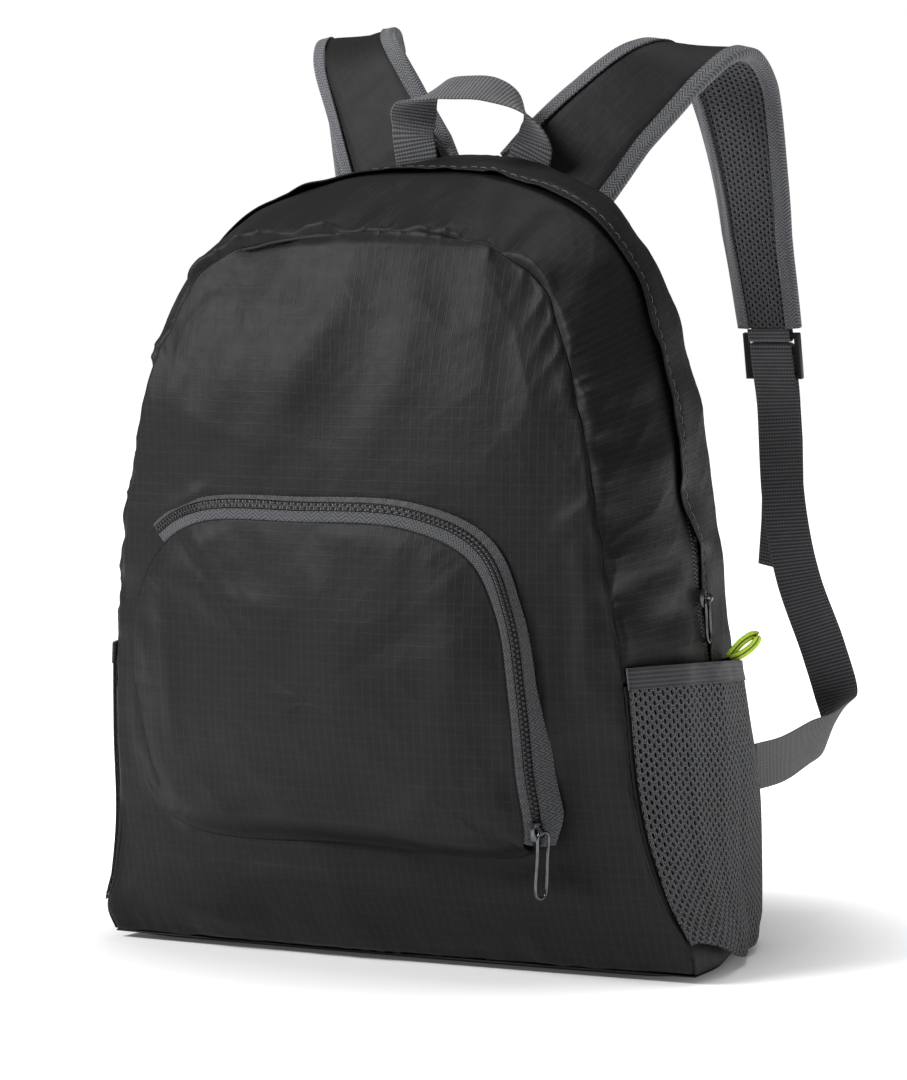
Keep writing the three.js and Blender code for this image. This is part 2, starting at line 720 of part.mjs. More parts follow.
// Across the zip at a share of its way: the pocket's edge, the coil and the seam on the front panel.
function zipLine(share) {
  const turn = (share * (zip_rows - 1)) / pocket_rows.length;
  const step = 1e-3;
  const edge = pocketPoint(turn, 1);
  const along = pocketEdge(turn + step).sub(pocketEdge(turn - step)).normalize();
  const outward = point(along.z, 0, -along.x).multiplyScalar(-1);
  if (outward.dot(edge.clone().sub(point(pocket_middle_x, 0, pocket_bottom + pocket_height / 2))) < 0) {
    outward.negate();
  }
  const onPanel = (away, stand) => {
    const p = edge.clone().addScaledVector(outward, away);
    return point(p.x, frontDepth(p.x, p.z) - pocket_seat - stand, p.z);
  };
  const reach = tape_width * amountAt(tape_rows, share, "reach");
  const stitch = tape_width * amountAt(tape_rows, share, "stitch");
  const stand = pocketStand(edge.x, edge.z) * amountAt(tape_rows, share, "stand");
  return { edge, coil: onPanel(reach, stand), stitch: onPanel(reach + stitch, 0) };
}

function addPocket() {
  add("pocket_face", roundWall(pocketPoint, 34, 6, cloth), black_ripstop);
  const steps = 28;
  const inner = (u, v) => {
    const line = zipLine(u);
    const span = line.coil.distanceTo(line.edge);
    const low = (inset + seam_gap / 2) / span;
    const high = 1 - (coil_width / 2 + layer_gap) / span;
    return line.edge.clone().lerp(line.coil, THREE.MathUtils.lerp(low, high, v));
  };
  const outer = (u, v) => {
    const line = zipLine(u);
    const low = (coil_width / 2 + layer_gap) / line.stitch.distanceTo(line.coil);
    return line.coil.clone().lerp(line.stitch, THREE.MathUtils.lerp(low, 1, v));
  };
  add("pocket_zip_tape_inner", wall(inner, steps, 1, tape), grey_tape);
  add("pocket_zip_tape_outer", wall(outer, steps, 2, tape), grey_tape);
  const stations = Array.from({ length: steps + 1 }, (_, k) => coilStation(k / steps));
  add("pocket_zip_coil", sweep(placed(stations), flatSection(coil_width / 2, coil_height)), black_nylon);
}

function coilStation(share) {
  const step = 1e-3;
  const line = zipLine(share);
  const ahead = zipLine(Math.min(1, share + step)).coil;
  const behind = zipLine(Math.max(0, share - step)).coil;
  return stationAt(line.coil, ahead.sub(behind).normalize(), line.stitch.clone().sub(line.edge));
}

// Side pockets: a slack mesh from seam to seam over the side panel, held by an elastic band.
function sidePocketPoint(side, u, height) {
  const share = height / side_pocket_height;
  const rest = cloth / 2 + seam_gap + band / 2;
  const gape = side_pocket_gape * Math.sin(Math.PI * u) ** gusset_fullness * amountAt(gape_rows, share);
  const rib = sideRib(side, height, height - side_pocket_drop * share);
  return onRib(rib, depth_inset + u * (1 - 2 * depth_inset), rest + gape);
}

function addSidePockets() {
  const mesh_top = side_pocket_height - band_height - seam_gap;
  const band_low = side_pocket_height - band_height;
  const between = THREE.MathUtils.lerp;
  for (const [name, side] of sides) {
    const net = (u, v) => sidePocketPoint(side, u, between(side_pocket_foot, mesh_top, v));
    const hem = (u, v) => sidePocketPoint(side, u, between(band_low, side_pocket_height, v));
    add(`${name}_side_pocket_mesh`, wall(net, 8, 7, mesh), grey_mesh);
    add(`${name}_side_pocket_band`, wall(hem, 8, 1, band), grey_tape);
  }
}

// Handle: webbing whose two legs stand in the back seam, twisting to lie flat over the hand's gap.
function addHandle() {
  const leg = seamAtWidth(handle_half_span);
  const foot = leg.z + cloth + seam_gap + webbing / 2;
  const rowAt = (row, side) => ({
    p: point(side * row.out * handle_half_span, leg.y - row.fore * handle_tip, foot + handle_rise * row.up),
    w: point(row.wx, side * row.wy, side * row.wz),
  });
  const mirrored = handle_rows.slice(0, -1).toReversed();
  const rows = [
    ...handle_rows.map((row) => rowAt(row, 1)),
    ...mirrored.map((row) => ({ p: rowAt(row, -1).p, w: point(-row.wx, row.wy, row.wz) })),
  ];
  const laid = placed(stationsThrough(rows, 28));
  add("grab_handle", sweep(laid, flatSection(webbing_width / 2, webbing)), grey_webbing);
}

// The back seam's point at a distance from the middle, on its upper half.
function seamAtWidth(x) {
  let [low, high] = [0, 0.5];
  for (let k = 0; k < 40; k++) {
    const middle = (low + high) / 2;
    if (seamPoint(back_seam, middle).x < x) low = middle;
    else high = middle;
  }
  return seamPoint(back_seam, high);
}

// Shoulder straps
function strapStations(side) {
  const seam = seamAtWidth(strap_offset);
  const rise = side < 0 ? left_strap_rise : strap_rise;
  const seat = side < 0 ? left_strap_seat : strap_seat;
  const rows = strap_rows.map((row) => ({
    p: point(
      strap_offset + row.out * strap_spread,
      seam.y + seat + strap_cover + binding + row.back * strap_reach,
      seam.z + inset + row.up * rise,
    ),
    w: point(row.wx, row.wy, row.wz),
    half: row.half * strap_half_width,
  }));
  return stationsThrough(rows, 18);
}

// The cover lies on the outer side of the strap and the lining on the side that is worn.
function addStraps() {
  const high = layer_gap / 2 + strap_cover + layer_gap;
  const low = -(layer_gap / 2 + strap_lining + layer_gap);
  const layer = (thickness, middle) => (station) => {
    const end = station.half - binding - layer_gap;
    const under = station.half - binding_width;
    const [bottom, top] = [middle - thickness / 2, middle + thickness / 2];
    return [
      ...[-end, -under, under, end].map((across) => [across, bottom]),
      ...[end, under, -under, -end].map((across) => [across, top]),
    ];
  };
  const edging = (sign) => (station) => {
    const end = station.half;
    const start = end - binding_width;
    return [
      [start, high],
      [end - binding, high],
      [end - binding, low],
      [start, low],
      [start, low - binding],
      [end, low - binding],
      [end, high + binding],
      [start, high + binding],
    ].map(([across, out]) => [sign * across, out]);
  };
  for (const [name, side] of sides) {
    const laid = placed(strapStations(side), side);
    const cover = layer(strap_cover, (strap_cover + layer_gap) / 2);
    const lining = layer(strap_lining, -(strap_lining + layer_gap) / 2);
    add(`${name}_strap_cover`, sweep(laid, cover), black_ripstop);
    add(`${name}_strap_lining`, sweep(laid, lining), grey_mesh);
    add(`${name}_strap_binding_inner`, sweep(laid, edging(-1)), grey_tape);
    add(`${name}_strap_binding_outer`, sweep(laid, edging(1)), grey_tape);
    addLock(name, side);
    addLockLoop(name, side);
    addLowerWebbing(name, side);
  }
}

// The ladder lock's own frame: w across it, up along the strap, and n away from the bag.
function lockFrame(side) {
  const [before, end] = strapStations(side).slice(-2);
  const up = before.p.clone().sub(end.p).normalize();
  const w = end.w.clone();
  const n = up.clone().cross(w).normalize();
  if (n.y < 0) n.negate();
  const origin = end.p.clone().addScaledVector(up, -lock_drop);
  const place = (across, high, out) =>
    origin.clone().addScaledVector(w, across).addScaledVector(up, high).addScaledVector(n, out);
  return { w, up, n, place };
}

function rectangle(target, width, low, high) {
  target.moveTo(-width / 2, low);
  target.lineTo(width / 2, low);
  target.lineTo(width / 2, high);
  target.lineTo(-width / 2, high);
  target.closePath();
  return target;
}

const top_bar_low = lock_height / 2 - lock_bar;
const middle_bar_high = top_bar_low - lock_slot;
const middle_bar_low = middle_bar_high - lock_bar;
const turn_radius = lock_thickness / 2 + layer_gap + webbing / 2;

function addLock(name, side) {
  const frame = lockFrame(side);
  const [{ p, w, n }] = placed([{ ...frame, p: frame.place(0, 0, 0) }], side);
  const shape = rectangle(new THREE.Shape(), lock_width, -lock_height / 2, lock_height / 2);
  const slot = (low, high) => rectangle(new THREE.Path(), lock_slot_width, low, high);
  shape.holes.push(slot(middle_bar_high, top_bar_low), slot(lock_bar - lock_height / 2, middle_bar_low));
  const geometry = new THREE.ExtrudeGeometry(shape, { depth: lock_thickness, bevelEnabled: false });
  geometry.translate(0, 0, -lock_thickness / 2);
  const up = n.clone().cross(w).normalize();
  if (up.z < 0) up.negate();
  const lock = add(`${name}_ladder_lock`, geometry, black_nylon);
  lock.position.copy(p);
  lock.quaternion.setFromRotationMatrix(new THREE.Matrix4().makeBasis(w, up, w.clone().cross(up)));
}

// A half turn of webbing round a bar, from its side away from the bag to the side near it.
function turnRound(frame, bar_edge, sign) {
  return Array.from({ length: 9 }, (_, k) => {
    const angle = (Math.PI * k) / 8;
    const high = bar_edge + sign * turn_radius * turn_reach * Math.sin(angle);
    const along = frame.n
      .clone()
      .multiplyScalar(-Math.sin(angle))
      .addScaledVector(frame.up, sign * turn_reach * Math.cos(angle))
      .normalize();
    return stationAt(frame.place(0, high, turn_radius * Math.cos(angle)), along, frame.w);
  });
}

// The folded webbing that holds the lock's top bar to the end of the strap.
function addLockLoop(name, side) {
  const frame = lockFrame(side);
  const top = lock_drop - seam_gap;
  const outside = stationAt(frame.place(0, top, turn_radius), frame.up.clone().negate(), frame.w);
  const inside = stationAt(frame.place(0, top, -turn_radius), frame.up, frame.w);
  const path = [outside, ...turnRound(frame, top_bar_low, -1), inside];
  const folded = sweep(placed(path, side), flatSection(webbing_width / 2, webbing));
  add(`${name}_lock_loop`, folded, grey_webbing);
}

// The adjusting webbing: from the bag's back seam, up to the lock, round its middle bar and down as a tail.
function addLowerWebbing(name, side) {
  const frame = lockFrame(side);
  const seam = seamPoint(back_seam, aroundAtHeight(back_seam, anchor_height));
  const anchor = point(seam.x, seam.y + inset, seam.z);
  const below = frame.place(0, -lock_height, -turn_radius);
  const low = lower_rows.map((row) => ({
    p: point(
      anchor.x + row.out * webbing_spread,
      anchor.y + row.back * webbing_reach,
      THREE.MathUtils.lerp(below.z, anchor.z, row.down),
    ),
    w: point(row.wx, row.wy, row.wz),
  }));
  const rows = [
    { p: frame.place(0, middle_bar_high, -turn_radius), w: frame.w },
    { p: frame.place(0, -lock_height / 2, -turn_radius), w: frame.w },
    { p: below, w: frame.w },
    ...low,
    { p: anchor, w: point(0, 0, 1) },
  ];
  const run = stationsThrough(rows, 34).map((station) => ({ ...station, n: station.n.clone().negate() }));
  const round = turnRound(frame, middle_bar_high, 1);
  const tail = tail_shares.map((share) => {
    const bent = share * share;
    const out = turn_radius + tail_sag * bent;
    const p = frame.place(-tail_stray * bent, middle_bar_high - share * tail_length, out);
    return stationAt(p, frame.up, frame.w);
  });
  const path = [...tail.toReversed(), ...round.slice(0, -1), ...run.map(facingLike(round.at(-1)))];
  const laid = sweep(placed(path, side), flatSection(webbing_width / 2, webbing));
  add(`${name}_strap_webbing`, laid, grey_webbing);
}

// Turns stations over where their webbing would face away from the one before.
function facingLike(first) {
  let before = first;
  return (station) => {
    const flipped = station.w.dot(before.w) < 0;
    const w = flipped ? station.w.clone().negate() : station.w;
    const n = station.n.dot(before.n) < 0 ? station.n.clone().negate() : station.n;
    before = { ...station, w, n };
    return before;
  };
}

// Sliders and pulls. Across a slider is x, y runs down its coil and z out of the bag, all from the
// coil's middle.
const plate_low = coil_height / 2 + layer_gap;
const plate_high = plate_low + slider_plate;
const pivot_height = plate_high + bridge_hole - bridge_sink;

function solidOf(geometry) {
  const bare = geometry.clone();
  bare.deleteAttribute("normal");
  bare.deleteAttribute("uv");
  const { attributes, index } = mergeVertices(bare, 1e-4);
  const triVerts = Uint32Array.from(index.array);
  const net = { numProp: 3, vertProperties: attributes.position.array, triVerts };
  return new manifold.Manifold(new manifold.Mesh(net));
}

function joined(first, second) {
  const net = solidOf(first).add(solidOf(second)).getMesh();
  const geometry = new THREE.BufferGeometry();
  geometry.setAttribute("position", new THREE.BufferAttribute(net.vertProperties, 3));
  geometry.setIndex(new THREE.BufferAttribute(net.triVerts, 1));
  return geometry.toNonIndexed();
}

// A plate over the coil with a short flange down each side of it.
function sliderBody() {
  const half = slider_width / 2;
  const inner = coil_width / 2 + layer_gap;
  const foot = plate_low - slider_flange;
  const shape = new THREE.Shape();
  shape.moveTo(-half, foot);
  shape.lineTo(-inner, foot);
  shape.lineTo(-inner, plate_low);
  shape.lineTo(inner, plate_low);
  shape.lineTo(inner, foot);
  shape.lineTo(half, foot);
  shape.lineTo(half * slider_taper, plate_high);
  shape.lineTo(-half * slider_taper, plate_high);
  shape.closePath();
  const body = new THREE.ExtrudeGeometry(shape, { depth: slider_length, bevelEnabled: false });
  return body.translate(0, 0, -slider_length / 2).rotateX(Math.PI / 2);
}

// The arch on the plate that the pull's wire passes under.
function sliderBridge() {
  const outer = bridge_hole + bridge_wall;
  const shape = new THREE.Shape();
  shape.moveTo(-outer, plate_high - bridge_wall);
  shape.lineTo(outer, plate_high - bridge_wall);
  shape.lineTo(outer, pivot_height);
  shape.absarc(0, pivot_height, outer, 0, Math.PI, false);
  shape.closePath();
  shape.holes.push(new THREE.Path().absarc(0, pivot_height, bridge_hole, 0, 2 * Math.PI, true));
  const options = { depth: bridge_width, bevelEnabled: false, curveSegments: 8 };
  const bridge = new THREE.ExtrudeGeometry(shape, options).translate(0, 0, -bridge_width / 2);
  const turn = new THREE.Matrix4().makeBasis(point(0, 1, 0), point(0, 0, 1), point(1, 0, 0));
  return bridge.applyMatrix4(turn);
}

// The pull is a long closed loop of wire round the bridge.
function pullLoop(length) {
  const half = pull_width / 2;
  const corner = half * pull_corner;
  const slant = half * Math.SQRT1_2;
  const end = length - wire / 2 - half;
  const places = [
    [-half + corner, 0],
    [half - corner, 0],
    [half, corner],
    [half, length / 3],
    [half, end],
    [slant, end + slant],
    [0, end + half],
    [-slant, end + slant],
    [-half, end],
    [-half, length / 3],
    [-half, corner],
  ].map(([x, y]) => point(x, y, pivot_height));
  const curve = new THREE.CatmullRomCurve3(places, true, "centripetal");
  const count = 26;
  const stations = Array.from({ length: count }, (_, k) => {
    const t = curve.getUtoTmapping(k / count);
    return stationAt(curve.getPoint(t), curve.getTangent(t), point(0, 0, 1));
  });
  return sweep(stations, roundSection(wire / 2, 5), true);
}

function addSlider(name, coil_station, pull_length) {
  const [{ p, w, n }] = placed([coil_station]);
  if (n.dot(p.clone().sub(point(0, 0, front_height / 2))) < 0) n.negate();
  const down = n.clone().cross(w).normalize();
  if (down.z > 0) down.negate();
  const turn = new THREE.Matrix4().makeBasis(down.clone().cross(n), down, n);
  const holder = new THREE.Group();
  holder.position.copy(p);
  holder.quaternion.setFromRotationMatrix(turn);
  backpack.add(holder);
  holder.add(add(`${name}_slider`, joined(sliderBody(), sliderBridge()), gun_metal));
  holder.add(add(`${name}_pull`, pullLoop(pull_length), gun_metal));
}

function addSliders() {
  const place = 1 - slider_length / (pocket_height + half_width);
  addSlider("pocket_zip", coilStation(place), pocket_pull_length);
  addSlider("main_zip", mainCoilStation(main_slider_place), main_pull_length);
}

// Loop tag: a folded ribbon at the upper back corner of the right side pocket.
function addTag() {
  const foot = sidePocketPoint(1, tag_place, side_pocket_height).add(point(0, 0, band_seat));
  const apart = tag_across.clone().cross(tag_out).normalize();
  const rowAt = (row, sign) => ({
    p: foot
      .clone()
      .addScaledVector(tag_out, row.out * tag_length)
      .addScaledVector(apart, sign * row.apart * tag_gape),
    w: tag_across,
  });
  const rows = [
    ...tag_rows.map((row) => rowAt(row, 1)),
    rowAt({ out: 1, apart: 0 }, 1),
    ...tag_rows.toReversed().map((row) => rowAt(row, -1)),
  ];
  const laid = placed(stationsThrough(rows, 16));
  add("loop_tag", sweep(laid, flatSection(tag_width / 2, tag_thickness)), lime_ribbon);
}

addPanels();
addGussets();
addMainZip();
addPocket();
addSidePockets();
addHandle();
addStraps();
addSliders();
addTag();

export default backpack;
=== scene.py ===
"""A packable backpack in thin black ripstop, filled and standing on its base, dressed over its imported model.

Sizes are in millimetres until a mesh is made. +Z is up, -Y is the front, +Y is the back that is worn.
"""

import math

import bmesh
import bpy
import numpy as np
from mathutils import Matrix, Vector


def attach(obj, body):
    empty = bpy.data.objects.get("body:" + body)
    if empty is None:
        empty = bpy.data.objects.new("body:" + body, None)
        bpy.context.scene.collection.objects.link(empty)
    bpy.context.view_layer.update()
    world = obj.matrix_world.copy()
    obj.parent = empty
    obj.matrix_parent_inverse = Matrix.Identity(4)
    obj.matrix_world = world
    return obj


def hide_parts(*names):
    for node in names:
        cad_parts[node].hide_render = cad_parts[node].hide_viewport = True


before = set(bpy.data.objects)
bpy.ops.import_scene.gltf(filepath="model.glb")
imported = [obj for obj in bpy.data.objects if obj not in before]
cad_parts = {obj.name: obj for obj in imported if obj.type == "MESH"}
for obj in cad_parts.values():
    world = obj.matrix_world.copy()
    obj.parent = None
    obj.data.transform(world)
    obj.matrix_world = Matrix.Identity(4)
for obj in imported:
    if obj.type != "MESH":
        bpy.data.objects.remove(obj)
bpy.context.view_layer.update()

MM = 0.001

# Bag body
BAG_WIDTH, BAG_DEPTH = 312, 146
FRONT_HEIGHT, BACK_HEIGHT = 372, 412
CLOTH, SEAM_GAP = 1.2, 0.5
FRONT_LEAN, BACK_LEAN, LEAN_POWER = 21, 15, 1.5
FRONT_CROWN, BACK_CROWN = 17, 5
FRONT_FULLNESS, GUSSET_FULLNESS = 0.75, 0.85
GUSSET_BULGE, TOP_ARCH, ARCH_POWER, BASE_RIM = 17, 3, 6, 0.2
ZIP_LINE, ZIP_FORWARD, ZIP_END_HEIGHT = 92, 16, 150
FLAP_LIFT, FLAP_OVERLAP, FLAP_SLOPE = 2.6, 9, 38
FLAP_OPENING, FLAP_EASING, FLAP_REST = 102, 48, 0.25

FOOT_SLIDE, FOOT_SLIDE_HEIGHT = 8, 115  # how far the slack front has slid to the right over its base
WAIST_SLIDE = 4  # and its sides to the left, half way up
SHOULDER_HEIGHT, SHOULDER_SPREAD, SHOULDER_SLIDE = 350, 4.5, 2.5  # how its filling pushes the shoulders out

# Front pocket
POCKET_WIDTH, POCKET_HEIGHT, POCKET_MIDDLE_X, POCKET_BOTTOM = 232, 164, -16, 63
POCKET_DEPTH, POCKET_SWELL, POCKET_LEFT_SHARE, POCKET_TOP_SHARE = 20, 5, 0.16, 0.4
POCKET_MIDDLE_UP, POCKET_HEM = 0.45, 0.16
TAPE_WIDTH, TAPE, COIL_WIDTH, COIL_HEIGHT = 8, 0.8, 4.4, 2
TEETH_PITCH, COIL_SEAT, COIL_LENGTH = 2.4, 0.7, 300
COIL_SINK_FROM, COIL_SINK_EASING, COIL_SINK = 0.925, 0.03, 0.9  # the pocket's coil lies lower near its slider

# Side pockets
SIDE_POCKET_HEIGHT, SIDE_POCKET_DROP, SIDE_POCKET_FOOT, SIDE_POCKET_GAPE = 158, 10, 12, 12
BAND_HEIGHT, BAND = 11, 2.2
NET_TUCK, NET_CELL, NET_BAR, NET_STRETCH = 3.5, 3.8, 1.35, 1.28
NET_FOOT, NET_CORNER, NET_REAR_CORNER = 5.5, 15, 12  # the netting's lower edge, higher at front and rear

# Webbing and straps
STRAP_SEAT, LEFT_STRAP_SEAT = 6.8, 5.5
WEBBING_WIDTH, WEBBING = 25, 1.4
HANDLE_HALF_SPAN, HANDLE_RISE, HANDLE_TIP, HANDLE_HEEL = 34, 38, 13, 5
STRAP_HEEL, LEFT_STRAP_SWAY, LEFT_STRAP_TUCK = 16, 3, 14  # down behind the back seam, and how the left one bends
STRAP_OFFSET, STRAP_SPREAD, STRAP_REACH, STRAP_RISE, LEFT_STRAP_RISE = 49, 46, 120, 62, 70
STRAP_HALF_WIDTH, STRAP_COVER, STRAP_LINING, LAYER_GAP = 35, 3, 2.6, 0.5
BINDING, BINDING_WIDTH, BINDING_LAP, RIM_SHARE = 1, 9, 5.6, 0.6
WEBBING_REACH, WEBBING_SPREAD, ANCHOR_HEIGHT = 150, 20, 92
TAIL_LENGTH, TAIL_STRAY, TAIL_SAG = 128, 16, 4
LOCK_HEIGHT, LOCK_THICKNESS, LOCK_BAR = 26, 3, 3
LOCK_SLOT, LOCK_DROP, TURN_REACH, WEBBING_TURN_REACH = 5.6, 16, 0.55, 1.0

# Sliders, pulls and tag
SLIDER_LENGTH, SLIDER_WIDTH, SLIDER_PLATE = 9, 6.8, 1.6
BRIDGE_HOLE, BRIDGE_SINK = 1.5, 0.15
PULL_WIDTH, PULL_CORNER, WIRE = 6.4, 0.45, 1.7
POCKET_PULL_LENGTH, MAIN_PULL_LENGTH, MAIN_SLIDER_PLACE = 34, 24, 0.95
BAND_SEAT, TAG_LENGTH, TAG_WIDTH, TAG_THICKNESS, TAG_GAPE, TAG_PLACE = 1.2, 24, 5, 0.9, 7, 0.88
TAG_TWIST, TAG_SHIFT = math.radians(66), np.array([-3.5, -5, BAND_SEAT])
TAG_REACH_SHARE, TAG_GAPE_SHARE, TAG_RIBBON_SHARE = 0.82, 0.75, 0.6  # the ribbon within its CAD loop

# Light and camera
# FLOOR_GLOW is the floor's painted glow next to the bag; it rises to full white further out.
FILL, FLOOR_GLOW = 0.16, 0.05
LAMPS = [
    ("key_light", (-1.9, -1.9, 2.3), 1.6, 128),
    ("fill_light", (2.4, -1.4, 1.8), 2.0, 5),
    ("top_light", (0.2, 0.6, 3.0), 2.0, 30),
]
CAMERA_AZIMUTH, CAMERA_ELEVATION, CAMERA_DISTANCE = 27, 4.2, 2384
CAMERA_TARGET = (51, -88, 220)
CAMERA_LENS = 157.4

# Seams of the gusset from the base up: share of the height, of half the width, of half the depth.
FRONT_ROWS = [
    (0.01, 1.08, 0.93), (0.045, 1.085, 1.02), (0.1, 1.03, 1.07), (0.2, 0.975, 1.085), (0.43, 0.938, 1.09),
    (0.59, 0.885, 1.06), (0.71, 0.84, 0.98), (0.78, 0.79, 0.9), (0.855, 0.73, 0.78), (0.92, 0.65, 0.68),
    (0.957, 0.575, 0.63), (0.984, 0.46, 0.59), (1.0, 0.3, 0.57),
]
BACK_ROWS = [
    (0.009, 0.96, -1.0), (0.11, 0.96, -1.02), (0.21, 0.95, -1.03), (0.38, 0.88, -1.02), (0.5, 0.85, -1.01),
    (0.69, 0.8, -0.99), (0.8, 0.725, -0.96), (0.87, 0.65, -0.94), (0.925, 0.56, -0.92), (0.965, 0.43, -0.9),
    (0.988, 0.3, -0.89), (1.0, 0.18, -0.89),
]
TOP_SHARE = 0.1
SEEN_CLOTH, SEEN_INSET = 0.7, 0.35
WELT_RADIUS, WELT_SINK = 1.2, 1.9
BULGE_ROWS = [
    (0, 0.42), (0.12, 0.62), (0.28, 1.1), (0.42, 1.05), (0.52, 0.75), (0.62, 0.47), (0.75, 0.38), (1, 0.2),
]
FORWARD_ROWS = [(0, 0.1), (0.25, 0.8), (0.45, 1), (0.65, 0.6), (0.85, 0.1), (1, 0)]
CROWN_ROWS = [(0, 0.25), (0.12, 0.75), (0.35, 1), (0.7, 0.8), (0.93, 0.35), (1, 0.05)]
# The pocket's outline: share of half its width, share of its height.
POCKET_ROWS = [
    (-0.8, 0.915), (-0.6, 0.985), (-0.07, 1.0), (0.48, 0.99), (0.78, 0.905), (0.91, 0.74), (0.965, 0.5),
    (0.99, 0.26), (1.0, 0.05), (0.94, 0.0), (0.1, 0.0), (-0.76, 0.015), (-0.965, 0.12), (-1.0, 0.42),
    (-0.965, 0.74),
]
ZIP_ROWS = 9
HELD_ROWS = [
    (0, 0.3), (1, 1), (ZIP_ROWS - 1, 1), (ZIP_ROWS, 0), (len(POCKET_ROWS) - 1, 0), (len(POCKET_ROWS), 0.3),
]
REACH_ROWS = [(0, 1), (0.45, 1), (0.65, 0.7), (1, 0.7)]
STITCH_ROWS = [
    (0, 0.5), (0.3, 0.55), (0.5, 0.6), (0.62, 0.4), (0.74, 0.4), (0.86, 0.9), (0.94, 0.95), (1, 0.3),
]
STAND_ROWS = [(0, 0.62), (0.45, 0.62), (0.65, 0.78), (1, 0.78)]
GAPE_ROWS = [(0, 0.12), (0.7, 1), (1, 1)]
# how far the netting gapes at shares of its height
NET_GAPE_ROWS = {
    "left": [(0, 0.55), (0.3, 0.95), (0.7, 1.1), (1, 1)],
    "right": [(0, 0.5), (0.3, 0.55), (0.7, 0.9), (1, 1)],
}
# out, fore, up, and the direction across the webbing
HANDLE_ROWS = [
    (1, 0, 0, 1, 0, 0), (1.05, 0.08, 0.4, 1, 0, 0), (0.9, 0.54, 0.75, 0.8, -0.55, -0.2),
    (0.45, 0.92, 0.97, 0.15, -0.85, -0.45), (0, 1, 1, 0, -0.85, -0.5),
]
HANDLE_RIGHT_ROWS = [
    (1, 0, 0, 1, 0, -0.2), (1.1, 0.12, 0.22, 0.95, -0.25, -0.25), (1.1, 0.46, 0.5, 0.75, -0.55, -0.35),
    (0.88, 0.8, 0.79, 0.45, -0.75, -0.45), (0.47, 0.98, 0.97, 0.15, -0.84, -0.5), (0, 1, 1, 0, -0.85, -0.5),
]
# out, back, up, half width, and the direction across the strap
STRAP_ROWS = [
    (0, 0, 0, 1, 0.955, 0, -0.295), (0.48, 0.1, 0.46, 0.87, 0.95, 0.04, -0.3),
    (0.97, 0.25, 0.86, 0.76, 0.95, 0.16, -0.2), (1.2, 0.42, 1.0, 0.73, 0.98, 0.18, -0.08),
    (1.26, 0.58, 0.96, 0.75, 0.98, 0.1, 0), (1.28, 0.74, 0.71, 0.77, 0.98, 0, 0),
    (1.33, 0.91, -0.12, 0.68, 0.97, -0.16, 0), (1.34, 1.0, -0.8, 0.6, 0.98, -0.12, 0),
    (1.35, 1.06, -1.4, 0.54, 0.99, 0, 0),
]
# down, back, out, and the direction across the webbing
LOWER_ROWS = [
    (0.3, 0.84, -1.6, 0.99, 0.1, 0), (0.52, 0.9, -1.45, 0.97, 0.25, 0), (0.74, 0.98, -1.0, 0.9, 0.4, 0.2),
    (0.89, 0.97, -0.6, 0.7, 0.25, 0.7), (0.96, 0.82, -0.35, 0.35, 0, 0.93), (0.98, 0.56, -0.2, 0.1, 0, 1),
    (1.0, 0.26, -0.04, 0, 0, 1),
]
TAIL_SHARES = [0.06, 0.2, 0.4, 0.6, 0.8, 1]
TAG_ROWS = [(0, 0.12), (0.3, 0.4), (0.65, 0.5), (0.92, 0.3)]

HALF_WIDTH, HALF_DEPTH = BAG_WIDTH / 2, BAG_DEPTH / 2
INSET = CLOTH / 2 + SEAM_GAP
CENTRE = np.array([0, 0, 180.0])
SIDES = (("left", -1), ("right", 1))


# Curves and tables

def ease(t):
    s = np.clip(t, 0, 1)
    return s * s * (3 - 2 * s)


def mix(a, b, t):
    return a + (b - a) * t


def amount(rows, place):
    """What a table of (at, amount) rows gives at each place, easing from row to row."""
    at, value = np.array(rows, float).T
    place = np.asarray(place, float)
    k = np.clip(np.searchsorted(at, place), 1, len(at) - 1)
    return mix(value[k - 1], value[k], ease((place - at[k - 1]) / (at[k] - at[k - 1])))


def spline(points, closed=False, steps=60):
    """A smooth curve through the points, as a dense row of them, with how many rows in each stands."""
    p = np.array(points, float)
    n = len(p)
    if closed:
        q = np.vstack([p[-1], p, p[0], p[1]])
        spans = n
    else:
        q = np.vstack([2 * p[0] - p[1], p, 2 * p[-1] - p[-2]])
        spans = n - 1
    t = np.linspace(0, 1, steps, endpoint=False)[:, None]
    out = []
    for k in range(spans):
        a, b, c, d = q[k : k + 4]
        gaps = [max(np.linalg.norm(y - x) ** 0.5, 1e-4) for x, y in ((a, b), (b, c), (c, d))]
        u = ((b - a) / gaps[0] - (c - a) / (gaps[0] + gaps[1]) + (c - b) / gaps[1]) * gaps[1]
        v = ((c - b) / gaps[1] - (d - b) / (gaps[1] + gaps[2]) + (d - c) / gaps[2]) * gaps[1]
        out.append(b + u * t + (3 * c - 3 * b - 2 * u - v) * t**2 + (2 * b - 2 * c + u + v) * t**3)
    return np.vstack(out + [p[:1] if closed else p[-1:]])


def lengths(p):
    return np.concatenate([[0], np.cumsum(np.linalg.norm(np.diff(p, axis=0), axis=1))])


def at_share(p, s, share):
    """Points of the dense curve p at shares of its length, s being its lengths."""
    place = np.asarray(share, float) * s[-1]
    return np.stack([np.interp(place, s, p[:, k]) for k in range(p.shape[1])], -1)


def between(rows, place):
    """Values of the rows at places counted in rows."""
    return np.stack([np.interp(place, np.arange(len(rows)), rows[:, k]) for k in range(rows.shape[1])], -1)


def unit(v):
    return v / np.maximum(np.linalg.norm(v, axis=-1, keepdims=True), 1e-9)


def stack(x, y, z):
    return np.stack(np.broadcast_arrays(np.asarray(x, float), y, z), -1)


